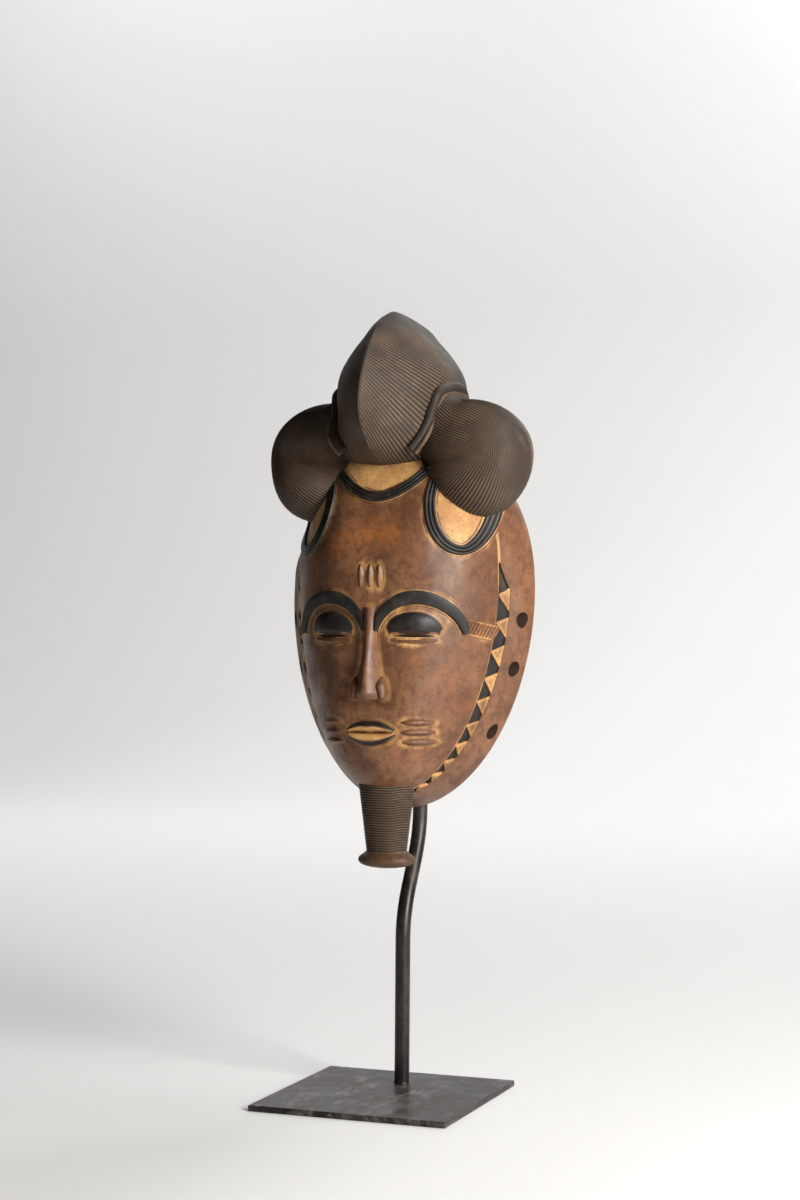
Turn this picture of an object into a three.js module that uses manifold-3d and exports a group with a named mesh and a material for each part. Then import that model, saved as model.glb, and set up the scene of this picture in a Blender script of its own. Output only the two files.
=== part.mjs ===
// A carved wooden face mask with a beard and combed hair, on its bent rod and square foot plate.
// Millimetres, +Z up. The mask looks along -Y, and +X is the wearer's left.
// The origin is the middle of the foot plate's underside.

import * as THREE from 'three';
import Module from 'manifold-3d';

const wasm = await Module();
wasm.setup();

// Driving dimensions of the stand

const plateSide = 135;
const plateThickness = 4;
const plateBevel = 0.8;
const rodDiameter = 10;
const rodFootY = 31.4;
const rodBackY = 66;
const rodStraightRise = 94;
const rodBendRise = 88;
const rodLean = 2;
const rodTipY = 24;
const restGap = 0.3;

// Driving dimensions of the mask's body. Heights on the mask are taken from the middle of its face.

const faceCentreZ = 342;
const rearY = 53;
const rearLean = 0.084;
const faceFrontY = -25;
const faceEdgeY = 24;
const chinEdgeAdvance = 20;
const crownEdgeAdvance = 14;
const faceHalfWidth = 71;
const faceRise = 100;
const faceDrop = 144;
const rimHalfWidth = 87.5;
const rimRise = 106.5;
const rimDrop = 142;
const rimCentreDrop = 13;
const templeTaper = 0.1;
const rimTaper = 0.04;
const wallThickness = 8.5;
const sideWall = 3.6;

// Driving dimensions of the carving

const slitHeight = 2.2;
const slitFall = 0.4;
const rimHoleWidth = 8;
const rimHoleHeight = 10.5;
const rimHoleCount = 3;
const toothCount = 10;
const bandWidth = 10.5;
const bandDepth = 1.5;
const bandPointShare = 0.06;
const toothBaseShare = 0.8;
const reliefHeight = 2;
const browWidth = 9;
const noseRise = 11.5;
const bridgeRise = 3;
const upperLipWidth = 7;
const lowerLipWidth = 8;
const lipRise = 6;
const chinRadius = 13;
const markWidth = 4.6;
const markPitch = 6.4;
const foreheadMarkLength = 15;
const cheekMarkLength = 18;
const frontBandHalfSpan = 38;
const frontBandRise = 25.5;
const ridgedBandWidth = 7;
const loopBandReach = 16.5;
const loopBandDrop = 35;
const cordWidth = 8.8;
const cordRibs = 6;
const crestRootZ = 70;
const crestCentreY = 20;
const crestHalfWidth = 42.5;
const crestRise = 66.5;
const crestDrop = 40;
const crestReach = 65.5;
const crestRearReach = 180;
const combDepth = 0.9;
const crestCombs = 9;
const lobeCentreX = 48;
const lobeCentreY = 30.3;
const lobeCentreZ = 81;
const lobeHalfWidth = 42.6;
const lobeHalfDepth = 44;
const lobeRise = 36.5;
const lobeDrop = 44;
const lobeShoulder = 45;
const lobePinch = 0.14;
const lobeCombs = 6;
const rollDiameter = 6;
const beardY = 4;
const beardFlatness = 0.8;
const beardTopWidth = 36.5;
const beardEndWidth = 27.9;
const beardLength = 36;
const beardRings = 8;
const beardDiscWidth = 38.5;
const beardDiscHeight = 11;

// Shares of the face that set out the features: hairline to chin in three equal parts,
// five eye widths across, and the mouth a third of the way from the nose down to the chin

const hairlineZ = faceRise * 0.52;
const chinZ = -faceDrop;
const thirdOfFace = (hairlineZ - chinZ) / 3;
const browZ = hairlineZ - thirdOfFace;
const noseBaseZ = browZ - thirdOfFace;
const mouthZ = noseBaseZ - (noseBaseZ - chinZ) / 3;
const eyeWidth = (2 * faceHalfWidth) / 5;
const eyeX = eyeWidth;
const eyeZ = browZ - thirdOfFace * 0.38;

// Solids from loops of points

function solidOf(points, triangles) {
  let volume = 0;
  for (const [a, b, c] of triangles) {
    const [p, q, r] = [points[a], points[b], points[c]];
    volume += p[0] * (q[1] * r[2] - q[2] * r[1]);
    volume += p[1] * (q[2] * r[0] - q[0] * r[2]);
    volume += p[2] * (q[0] * r[1] - q[1] * r[0]);
  }
  const outward = volume > 0 ? triangles : triangles.map(([a, b, c]) => [a, c, b]);
  return new wasm.Manifold(new wasm.Mesh({
    numProp: 3,
    vertProperties: new Float32Array(points.flat()),
    triVerts: new Uint32Array(outward.flat()),
  }));
}

function middleOf(loop) {
  return [0, 1, 2].map((axis) => loop.reduce((sum, point) => sum + point[axis], 0) / loop.length);
}

// Neighbouring loops are joined by faces, and the first and last are closed by fans.
function loft(loops, start = middleOf(loops[0]), end = middleOf(loops[loops.length - 1])) {
  const count = loops[0].length;
  const points = [...loops.flat(), start, end];
  const triangles = [];
  for (let row = 0; row < loops.length - 1; row += 1) {
    for (let i = 0; i < count; i += 1) {
      const a = row * count + i;
      const b = row * count + ((i + 1) % count);
      triangles.push([a, b, b + count], [a, b + count, a + count]);
    }
  }
  const lastRow = (loops.length - 1) * count;
  for (let i = 0; i < count; i += 1) {
    const next = (i + 1) % count;
    triangles.push([next, i, points.length - 2]);
    triangles.push([lastRow + i, lastRow + next, points.length - 1]);
  }
  return solidOf(points, triangles);
}

function steps(count, from = 0, to = 1) {
  return Array.from({ length: count + 1 }, (_, i) => from + ((to - from) * i) / count);
}

function turns(count) {
  return Array.from({ length: count }, (_, i) => (2 * Math.PI * i) / count);
}

function onBothSides(make) {
  return join([make(1), make(-1)]);
}

function join(solids) {
  return solids.reduce((whole, solid) => whole.add(solid));
}

// The face: an oval that is fuller above its centre, domed forward, on a flange that runs back
// and outward to the rim

function ovalPoint(angle, halfWidth, rise, drop, powerAbove, powerBelow) {
  const c = Math.cos(angle);
  const s = Math.sin(angle);
  const power = s > 0 ? powerAbove : powerBelow;
  return [
    halfWidth * Math.sign(c) * Math.abs(c) ** (2 / power),
    (s > 0 ? rise : drop) * Math.sign(s) * Math.abs(s) ** (2 / power),
  ];
}

const facePowerAbove = 2.6;
const facePowerBelow = 2;
const rimPowerAbove = 2.2;
const rimPowerBelow = 1.93;

// The wearer's right temple is carved a little narrower than the left.
function templeShare(z, taper, from, to) {
  const u = Math.min(Math.max((z - from) / (to - from), 0), 1);
  return 1 - taper * u * u * (3 - 2 * u);
}

function faceTemple(z) {
  return templeShare(z, templeTaper, 0.12 * faceRise, 0.4 * faceRise);
}

function edgeY(steepness, isBelow) {
  if (isBelow) {
    return faceEdgeY - chinEdgeAdvance * steepness ** 1.6;
  }
  return faceEdgeY - crownEdgeAdvance * steepness ** 2;
}

function faceY(x, z) {
  const isBelow = z < 0;
  const reach = isBelow ? faceDrop : faceRise;
  const power = isBelow ? facePowerBelow : facePowerAbove;
  const halfWidth = faceHalfWidth * (x < 0 ? faceTemple(z) : 1);
  const sum = (Math.abs(x) / halfWidth) ** power + (Math.abs(z) / reach) ** power;
  const share = Math.max(sum ** (1 / power), 1e-6);
  const steepness = Math.min(Math.abs(z) / reach / share, 1);
  const fullness = isBelow ? 3 + 1.5 * steepness ** 2 + 9 * steepness ** 8 : 3 - 1.55 * steepness ** 2;
  return faceFrontY + (edgeY(steepness, isBelow) - faceFrontY) * share ** fullness;
}

// A point of the face, lifted off it along its normal.
function onFace(x, z, lift = 0) {
  const step = 0.5;
  const slopeX = (faceY(x + step, z) - faceY(x - step, z)) / (2 * step);
  const slopeZ = (faceY(x, z + step) - faceY(x, z - step)) / (2 * step);
  const length = Math.hypot(slopeX, 1, slopeZ);
  return [
    x + (slopeX / length) * lift,
    faceY(x, z) - lift / length,
    z + (slopeZ / length) * lift,
  ];
}

function faceEdge(angle) {
  const [x, z] = ovalPoint(angle, faceHalfWidth, faceRise, faceDrop, facePowerAbove, facePowerBelow);
  const steepness = Math.abs(z) / (z < 0 ? faceDrop : faceRise);
  return new THREE.Vector3(x < 0 ? x * faceTemple(z) : x, edgeY(steepness, z < 0), z);
}

// The rear is one plane that leans back toward the crown, so that the chin comes forward.
function rearAt(z) {
  return rearY + rearLean * z;
}

function rimEdge(angle, inset = 0) {
  const [x, z] = ovalPoint(
    angle, rimHalfWidth - inset, rimRise - inset, rimDrop - inset, rimPowerAbove, rimPowerBelow,
  );
  const height = z - rimCentreDrop;
  const temple = templeShare(height, rimTaper, 0, 0.1 * faceRise);
  return new THREE.Vector3(x < 0 ? x * temple : x, rearAt(height), height);
}

// A point of the flange: share 0 at the face, 1 at the rim, lifted along the flange's normal.
function onFlange(angle, share, lift = 0) {
  const edge = faceEdge(angle);
  const rim = rimEdge(angle);
  const along = faceEdge(angle + 0.01).sub(faceEdge(angle - 0.01));
  const normal = along.cross(rim.clone().sub(edge)).normalize();
  if (normal.x * edge.x + normal.z * edge.z < 0) {
    normal.negate();
  }
  return edge.lerp(rim, share).addScaledVector(normal, lift).toArray();
}

// How far round the zigzag band has got: 0 where it starts beside the forehead, 1 under the chin
const bandStart = -0.05;
const bandEnd = 1.34;

function bandShare(angle) {
  const below = Math.asin(Math.min(Math.max(-Math.sin(angle), -1), 1));
  return (below - bandStart) / (bandEnd - bandStart);
}

function bandWidthAt(share) {
  if (share <= 0 || share >= 1) {
    return 0;
  }
  return bandWidth * Math.min(1, share / bandPointShare) * (1 - 0.5 * share ** 2);
}

function makeHead() {
  const around = turns(40);
  const poleZ = -faceDrop * 0.3;
  const rings = [0.12, 0.3, 0.47, 0.62, 0.75, 0.85, 0.92, 0.97];
  const loops = rings.map((ring) => around.map((angle) => {
    const edge = faceEdge(angle);
    const x = edge.x * ring;
    const z = poleZ + (edge.z - poleZ) * ring;
    return [x, faceY(x, z), z];
  }));
  loops.push(around.map((angle) => onFlange(angle, 0)));
  const bandLines = [[0.04, -bandDepth], [1, -bandDepth], [1.04, 0]];
  for (const [across, lift] of bandLines) {
    loops.push(around.map((angle) => {
      const width = bandWidthAt(bandShare(angle));
      const flange = rimEdge(angle).distanceTo(faceEdge(angle));
      const share = Math.max((width * across) / flange, 0.02 * (1 + across));
      return onFlange(angle, share, width > 0 ? lift : 0);
    }));
  }
  for (const share of [0.7, 1]) {
    loops.push(around.map((angle) => onFlange(angle, share)));
  }
  return loft(loops, onFace(0, poleZ), [0, rearAt(-rimCentreDrop), -rimCentreDrop]);
}

// The hollow follows the face at the wall's thickness and opens through the rear plane. Where it is
// as deep as the face's edge, its sides leave the side wall beside the face.
const hollowFullness = 3.4;
const hollowDepth = rearY - faceFrontY - wallThickness;
const edgeShare = (1 - (rearY - faceEdgeY) / hollowDepth) ** (1 / hollowFullness);
const sideFit = (faceHalfWidth - sideWall) / (edgeShare * (rimHalfWidth - wallThickness));

function hollowY(share, z, steepness) {
  const fullness = hollowFullness + 1.8 * steepness ** 2;
  return rearAt(z) - hollowDepth * (1 - share ** fullness);
}

function hollowPoint(angle, share) {
  const rim = rimEdge(angle, wallThickness);
  const steepness = Math.abs(Math.sin(angle));
  const z = -rimCentreDrop + (rim.z + rimCentreDrop) * share;
  const towardRim = Math.max((share - edgeShare) / (1 - edgeShare), 0);
  const fit = sideFit + (1 - sideFit) * towardRim;
  return [rim.x * share * fit, hollowY(share, z, steepness), z];
}

const hollowRings = [0.2, 0.5, 0.7, 0.85, 0.94, 1];

function makeHollow() {
  const around = turns(32);
  const loops = hollowRings.map((share) => around.map((angle) => hollowPoint(angle, share)));
  const behind = 2 * wallThickness;
  loops.push(loops[loops.length - 1].map(([x, y, z]) => [x, y + behind, z]));
  return loft(loops, hollowPoint(0, 0));
}

// Raised work on the face: a strip follows a path of x and z, with its own width and section.
// Side 1 is the wearer's left, and side -1 mirrors the path.

function strip({ path, halfWidth, section, count, sink = 3, side = 1 }) {
  const across = section.length - 1;
  const loops = steps(count).map((u) => {
    const [x, z] = path(u);
    const before = path(Math.max(u - 0.002, 0));
    const after = path(Math.min(u + 0.002, 1));
    const run = Math.hypot(after[0] - before[0], after[1] - before[1]);
    const sideX = (before[1] - after[1]) / run;
    const sideZ = (after[0] - before[0]) / run;
    const half = halfWidth(u);
    const at = (v, lift) => onFace(side * (x + sideX * half * v), z + sideZ * half * v, lift);
    const top = section.map((height, i) => at((2 * i) / across - 1, height(u)));
    return [...top, at(1, -sink), at(-1, -sink)];
  });
  return loft(loops);
}

function level(height) {
  return () => height;
}

function lens(width) {
  return (u) => (width / 2) * (0.18 + 0.82 * Math.sin(Math.PI * u));
}

function makeBrow(side) {
  const reach = eyeWidth * 0.9;
  const rise = eyeWidth * 0.84;
  const centreX = eyeX + 1.6;
  const centreZ = browZ - rise;
  return strip({
    side,
    path: (u) => {
      const angle = Math.PI * (0.97 - 0.97 * u);
      return [centreX + reach * Math.cos(angle), centreZ + rise * Math.sin(angle)];
    },
    halfWidth: (u) => (browWidth / 2) * (0.45 + 0.55 * Math.sin(Math.PI * (0.12 + 0.68 * u))),
    section: [level(reliefHeight * 0.4), level(reliefHeight * 1.3), level(reliefHeight)],
    count: 12,
  });
}

function makeLid(side) {
  const half = eyeWidth * 0.54;
  const rise = eyeWidth * 0.5;
  const bulge = (height) => (u) => 0.3 + height * Math.sin(Math.PI * u) ** 0.8;
  return strip({
    side,
    path: (u) => {
      const across = 2 * u - 1;
      const top = rise * Math.sqrt(Math.max(1 - across ** 2, 0.03));
      return [eyeX + half * across, eyeZ + slitHeight / 2 + top / 2];
    },
    halfWidth: (u) => (rise / 2) * Math.sqrt(Math.max(1 - (2 * u - 1) ** 2, 0.03)),
    section: [bulge(3.4), bulge(3.8), bulge(2.6), bulge(0.4)],
    count: 8,
    sink: 2,
  });
}

function makeLowerLid(side) {
  const half = eyeWidth * 0.5;
  return strip({
    side,
    path: (u) => [eyeX + half * (2 * u - 1), eyeZ - slitHeight / 2 - 1.6 - 1.2 * Math.sin(Math.PI * u)],
    halfWidth: lens(2.6),
    section: [level(0.2), level(1.2), level(0.9)],
    count: 6,
    sink: 2,
  });
}

function makeNose() {
  const length = browZ - noseBaseZ;
  const widthAt = (u) => eyeWidth * (0.16 + 0.3 * u ** 3);
  const rise = (share) => (u) => share * (bridgeRise + noseRise * u ** 1.5);
  const bridge = strip({
    path: (u) => [0, browZ - length * (0.12 + 0.88 * u)],
    halfWidth: widthAt,
    section: [level(0.2), rise(0.6), rise(1), rise(0.6), level(0.2)],
    count: 8,
  });
  const wing = (side) => strip({
    side,
    path: (u) => [eyeWidth * 0.34, noseBaseZ + 1 + 12 * (1 - u)],
    halfWidth: (u) => 4.4 * (0.3 + 0.7 * Math.sin((Math.PI * (u + 0.15)) / 1.3)),
    section: [0.09, 0.56, 0.65, 0.56, 0.09].map((share) => level(share * noseRise)),
    count: 6,
  });
  return join([bridge, onBothSides(wing)]);
}

function makeMouth() {
  const half = eyeWidth * 0.58;
  const lip = (side, fullness) => strip({
    path: (u) => {
      const across = 2 * u - 1;
      return [half * across, mouthZ + side * (0.1 + 0.5 * (1 - across ** 2)) * fullness];
    },
    halfWidth: (u) => (fullness / 2) * (0.15 + 0.85 * Math.sin(Math.PI * u) ** 0.8),
    section: [0.2, 0.83, 1, 0.73, 0.2].map((share) => (u) => (
      0.4 + share * lipRise * Math.sin(Math.PI * u) ** 0.5
    )),
    count: 8,
  });
  return join([lip(1, upperLipWidth), lip(-1, lowerLipWidth)]);
}

function makeChin() {
  const ball = new THREE.SphereGeometry(1, 12, 8);
  ball.scale(eyeWidth * 0.75, chinRadius, chinRadius);
  ball.translate(0, beardY, chinZ + chinRadius);
  return solidFromGeometry(ball);
}

// Scars of beauty: three on the forehead, three beside each corner of the mouth

function makeMarks() {
  const marks = [];
  for (const place of [-1, 0, 1]) {
    marks.push(strip({
      path: (u) => [place * markPitch, browZ + markPitch + foreheadMarkLength * u],
      halfWidth: lens(markWidth),
      section: [level(0), level(reliefHeight), level(0)],
      count: 4,
    }));
    marks.push(onBothSides((side) => strip({
      side,
      path: (u) => [eyeWidth * 0.72 + cheekMarkLength * u, mouthZ + place * markPitch],
      halfWidth: lens(markWidth),
      section: [level(0), level(reliefHeight), level(0)],
      count: 4,
    })));
  }
  return join(marks);
}

// Ridged bands that edge the shaved zones: an arc over the forehead and a loop under each bun

const ridges = [0, 1, 0.5, 1, 0].map((share) => level(share * reliefHeight));

function makeFrontBand() {
  return strip({
    path: (u) => {
      const across = 2 * u - 1;
      return [frontBandHalfSpan * across, hairlineZ + frontBandRise * Math.abs(across) ** 1.9];
    },
    halfWidth: () => ridgedBandWidth / 2,
    section: ridges,
    count: 10,
  });
}

function makeLoopBand(side) {
  return strip({
    side,
    path: (u) => {
      const angle = Math.PI * (0.94 + 1.0 * u);
      const c = Math.cos(angle);
      const s = Math.sin(angle);
      const reach = c < 0 ? loopBandReach * 1.18 : loopBandReach * 0.88;
      return [
        faceHalfWidth - loopBandReach + reach * Math.sign(c) * Math.abs(c) ** 1.05,
        hairlineZ + loopBandDrop * Math.sign(s) * Math.abs(s) ** 1.05,
      ];
    },
    halfWidth: () => ridgedBandWidth / 2,
    section: ridges,
    count: 10,
  });
}

// A ribbed cord from the outer end of the brow to the zigzag band

function makeCord(side) {
  const from = eyeX + eyeWidth * 0.98;
  const to = faceHalfWidth - 1.5;
  const count = cordRibs * 2;
  const ribHeight = (u) => (Math.round(u * count) % 2 ? reliefHeight : reliefHeight * 0.45);
  const swell = (share) => (u) => share * ribHeight(u);
  return strip({
    side,
    path: (u) => [from + (to - from) * u, eyeZ + 6 - 5 * u],
    halfWidth: () => cordWidth / 2,
    section: [swell(0.1), swell(1), swell(0.1)],
    count,
  });
}

// The zigzag band's teeth stand in its sunk ground, level with the flange.
function makeTeeth(side) {
  const teeth = [];
  const pitch = (bandEnd - bandStart) / (toothCount + 0.6);
  for (let i = 0; i < toothCount; i += 1) {
    const middle = -(bandStart + pitch * (i + 1));
    const half = pitch * 0.5;
    const corner = (angle, isBase, lift) => {
      const width = bandWidthAt(bandShare(angle));
      const place = side > 0 ? angle : Math.PI - angle;
      const flange = rimEdge(place).distanceTo(faceEdge(place));
      return onFlange(place, (width * (isBase ? 1.08 : 0.12)) / flange, lift);
    };
    const outline = (lift) => [
      corner(middle - half * toothBaseShare, true, lift),
      corner(middle + half * toothBaseShare, true, lift),
      corner(middle + half * 0.12, false, lift),
      corner(middle - half * 0.12, false, lift),
    ];
    teeth.push(loft([outline(0), outline(-bandDepth - 1)]));
  }
  return join(teeth);
}

// Hair: a keeled crest and two round buns, all combed in fine cuts

const crestCentre = { y: crestCentreY, z: crestRootZ + crestDrop };
const crestPowerAbove = 1.7;
const crestPowerBelow = 1.9;

function crestShare(y, z) {
  const dy = y - crestCentre.y;
  const dz = z - crestCentre.z;
  const power = dz < 0 ? crestPowerBelow : crestPowerAbove;
  const reach = dy < 0 ? crestReach : crestRearReach;
  const rise = dz < 0 ? crestDrop : crestRise;
  return ((Math.abs(dy) / reach) ** power + (Math.abs(dz) / rise) ** power) ** (1 / power);
}

const combSlope = 0.716;

// Each comb line of the crest lies in a plane that falls backward; it starts on the keel.
function combPoint(offset, along) {
  return [
    crestCentre.y + offset * Math.sin(combSlope) + along * Math.cos(combSlope),
    crestCentre.z + offset * Math.cos(combSlope) - along * Math.sin(combSlope),
  ];
}

function crestEnd(offset, middle, direction) {
  let inside = 0;
  let outside = 2 * (crestRearReach + crestRise);
  for (let i = 0; i < 30; i += 1) {
    const tried = (inside + outside) / 2;
    if (crestShare(...combPoint(offset, middle + direction * tried)) < 1) {
      inside = tried;
    } else {
      outside = tried;
    }
  }
  return middle + direction * inside;
}

function deepestAlong(offset) {
  const places = steps(120, -crestReach, crestReach);
  const shares = places.map((along) => crestShare(...combPoint(offset, along)));
  return places[shares.indexOf(Math.min(...shares))];
}

function crestSpan() {
  const isCut = (offset) => crestShare(...combPoint(offset, deepestAlong(offset))) < 1;
  const offsets = steps(240, -crestDrop - crestReach, crestRise + crestReach).filter(isCut);
  return [offsets[0], offsets[offsets.length - 1]];
}

function eased(share) {
  const u = Math.min(Math.max(share, 0), 1);
  return u * u * (3 - 2 * u);
}

// Below its centre the crest stays broad down to a blunt lower edge.
function crestWidthAt(y, z) {
  const down = (crestCentre.z - z) / crestDrop;
  const neck = 1 - 0.15 * eased(0.86 + 1.14 * down) + 0.09 * eased(2 * down);
  const reach = y < crestCentre.y ? crestReach : crestRearReach;
  const left = (1 - Math.min(Math.max(down, 0), 1) ** crestPowerBelow) ** (1 / crestPowerBelow);
  const closed = down > 0 ? Math.abs(y - crestCentre.y) / Math.max(reach * left, 1e-6) : crestShare(y, z);
  return crestHalfWidth * neck * (1 - Math.min(closed, 1) ** 2);
}

function makeCrest() {
  const [low, high] = crestSpan();
  const columns = steps(5).map((u) => (1 - Math.cos(Math.PI * u)) / 2);
  const loops = steps(crestCombs * 2, low, high).map((offset, row) => {
    const middle = deepestAlong(offset);
    const front = crestEnd(offset, middle, -1);
    const back = crestEnd(offset, middle, 1);
    const cut = row % 2 ? combDepth : 0;
    const side = columns.map((u) => {
      const [y, z] = combPoint(offset, front + (back - front) * u);
      return [Math.max(crestWidthAt(y, z) - cut, 0), y, z];
    });
    const left = side.slice(1, -1).reverse().map(([x, y, z]) => [-x, y, z]);
    return [...side, ...left];
  });
  return loft(loops);
}

const lobeCentre = new THREE.Vector3(lobeCentreX, lobeCentreY, lobeCentreZ);

// Each bun swells up to the crest, and is pinched in where its combing starts at the forehead.
function makeLobe(side) {
  const root = new THREE.Vector3(-0.68, -0.72, -0.16).normalize();
  const outward = new THREE.Vector3(1, 0, 0).addScaledVector(root, -root.x).normalize();
  const upward = new THREE.Vector3().crossVectors(outward, root).normalize();
  const around = turns(16);
  const combed = 2.3;
  const rows = [...steps(lobeCombs * 2, combed / lobeCombs / 2, combed), 2.6, 2.9];
  const loops = rows.map((row, index) => {
    const power = 1.15 + 0.85 * Math.min(row / 1.2, 1);
    const cut = index % 2 && row <= combed ? combDepth : 0;
    return around.map((turn) => {
      const c = Math.cos(turn);
      const s = Math.sin(turn);
      const angle = row / (Math.abs(c) ** power + Math.abs(s) ** power) ** (1 / power);
      const direction = root.clone().multiplyScalar(Math.cos(angle));
      direction.addScaledVector(outward, c * Math.sin(angle));
      direction.addScaledVector(upward, s * Math.sin(angle));
      const shoulder = lobeShoulder * Math.max(-direction.x, 0) ** 1.5;
      const upright = direction.z > 0 ? lobeRise + shoulder : lobeDrop;
      const pinch = 1 - lobePinch * Math.max(direction.dot(root), 0) ** 10;
      const reach = new THREE.Vector3(lobeHalfWidth, lobeHalfDepth, upright).multiplyScalar(pinch);
      const point = reach.subScalar(cut).multiply(direction).add(lobeCentre);
      return [side * point.x, point.y, point.z];
    });
  });
  return loft(loops);
}

// A smooth roll lies in the fold between the crest and each bun.
function makeRoll(side) {
  const places = [
    [-11, 33, 38], [-9.4, 13, 45.5], [-11, -4, 46], [-12.4, -21, 39.5], [-14.4, -27.5, 29],
    [-15, -32.5, 19.5], [-18, -38.4, 9.8], [-24.5, -42, 1.5],
  ];
  const fold = new THREE.CatmullRomCurve3(places.map(([x, y, z]) => (
    new THREE.Vector3(side * (lobeCentreX + x), lobeCentreY + y, lobeCentreZ + z)
  )));
  return tube(fold, rollDiameter / 2, 12, 6);
}

function tube(curve, radius, count, sides) {
  const frames = curve.computeFrenetFrames(count);
  return loft(steps(count).map((u, row) => turns(sides).map((turn) => {
    const point = curve.getPointAt(u);
    point.addScaledVector(frames.normals[row], radius * Math.cos(turn));
    point.addScaledVector(frames.binormals[row], radius * Math.sin(turn));
    return point.toArray();
  })));
}

// The beard hangs from under the chin, cut in rings, and ends in a flared disc.
function makeBeard() {
  const top = chinZ;
  const hidden = 12;
  const ring = (z, width) => turns(12).map((turn) => [
    (width / 2) * Math.cos(turn),
    beardY + ((width * beardFlatness) / 2) * Math.sin(turn),
    z,
  ]);
  const loops = [ring(top + hidden, beardTopWidth)];
  for (const u of steps(beardRings * 2)) {
    const cut = Math.round(u * beardRings * 2) % 2 ? 0 : combDepth;
    const width = beardTopWidth + (beardEndWidth - beardTopWidth) * u;
    loops.push(ring(top - beardLength * u, width - 2 * cut));
  }
  const discTop = top - beardLength;
  const discOutline = [[0.2, 0.86], [0.45, 1], [0.65, 0.98], [0.85, 0.8], [0.97, 0.45]];
  for (const [down, share] of discOutline) {
    loops.push(ring(discTop - beardDiscHeight * down, beardDiscWidth * share));
  }
  return loft(loops, undefined, [0, beardY, discTop - beardDiscHeight]);
}

// Cuts right through the wood. The eye slits fall toward the rear.

function makeEyeSlit(side) {
  const half = eyeWidth * 0.46;
  const outline = [...steps(8), ...steps(8).slice(1, -1).reverse()].map((u, i) => {
    const upper = i <= 8 ? 1 : -1;
    const rise = (slitHeight / 2) * (0.1 + 0.9 * Math.sin(Math.PI * u));
    return [side * (eyeX + half * (2 * u - 1)), eyeZ + upper * rise];
  });
  const lidY = faceY(eyeX, eyeZ);
  const ends = [2 * faceFrontY, rearY];
  return loft(ends.map((y) => outline.map(([x, z]) => [x, y, z - slitFall * (y - lidY)])));
}

// The holes in the flange are drilled straight in from the side.
function makeRimHoles(side) {
  const holes = [];
  const places = [[0.147, 0.64], [0.384, 0.65], [0.72, 0.7]];
  for (const [below, share] of places.slice(0, rimHoleCount)) {
    const angle = side > 0 ? -below : Math.PI + below;
    const [x, y, z] = onFlange(angle, share);
    const ends = [x + side * wallThickness * 2, x - side * wallThickness * 3];
    holes.push(loft(ends.map((endX) => turns(12).map((turn) => [
      endX, y + (rimHoleWidth / 2) * Math.cos(turn), z + (rimHoleHeight / 2) * Math.sin(turn),
    ]))));
  }
  return join(holes);
}

function solidFromGeometry(geometry) {
  const place = geometry.attributes.position;
  const seen = new Map();
  const points = [];
  const shared = Array.from({ length: place.count }, (_, i) => {
    const point = [place.getX(i), place.getY(i), place.getZ(i)];
    const key = point.map((value) => value.toFixed(4)).join(' ');
    if (!seen.has(key)) {
      seen.set(key, points.length);
      points.push(point);
    }
    return seen.get(key);
  });
  const triangles = [];
  for (let i = 0; i < geometry.index.count; i += 3) {
    const [a, b, c] = [0, 1, 2].map((corner) => shared[geometry.index.getX(i + corner)]);
    if (a !== b && b !== c && a !== c) {
      triangles.push([a, b, c]);
    }
  }
  return solidOf(points, triangles);
}

function makeMask() {
  const onFaceSides = [makeBrow, makeLid, makeLowerLid, makeLoopBand, makeCord, makeTeeth];
  const carved = join([
    makeHead(), ...onFaceSides.map(onBothSides), makeNose(), makeMouth(), makeChin(), makeMarks(),
    makeFrontBand(), onBothSides(makeLobe), onBothSides(makeRoll), makeCrest(), makeBeard(),
  ]);
  const reach = 4 * rimDrop;
  const behind = new THREE.BoxGeometry(reach, reach, reach);
  behind.translate(0, reach / 2, 0);
  behind.rotateX(-Math.atan(rearLean));
  behind.translate(0, rearY, 0);
  const holes = [onBothSides(makeEyeSlit), onBothSides(makeRimHoles)];
  return carved.subtract(join([makeHollow(), solidFromGeometry(behind), ...holes]));
}

// The rod rises from the plate, swings back behind the lower rim, climbs inside the hollow
// and leans forward until its round tip is under the hollow's ceiling

// The height at which the tip, at a given y, comes within the resting gap of the hollow's ceiling.
function rodTipHeight(y) {
  const clearance = rodDiameter / 2 + restGap;
  const heights = hollowRings.slice(1).flatMap((share, i) => {
    const from = new THREE.Vector3(...hollowPoint(Math.PI / 2, hollowRings[i]));
    const to = new THREE.Vector3(...hollowPoint(Math.PI / 2, share));
    return steps(40).map((u) => {
      const wall = from.clone().lerp(to, u);
      return wall.z - Math.sqrt(Math.max(clearance ** 2 - (wall.y - y) ** 2, 0));
    }).filter((height, place) => Math.abs(from.clone().lerp(to, place / 40).y - y) < clearance);
  });
  return Math.min(...heights);
}

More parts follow.
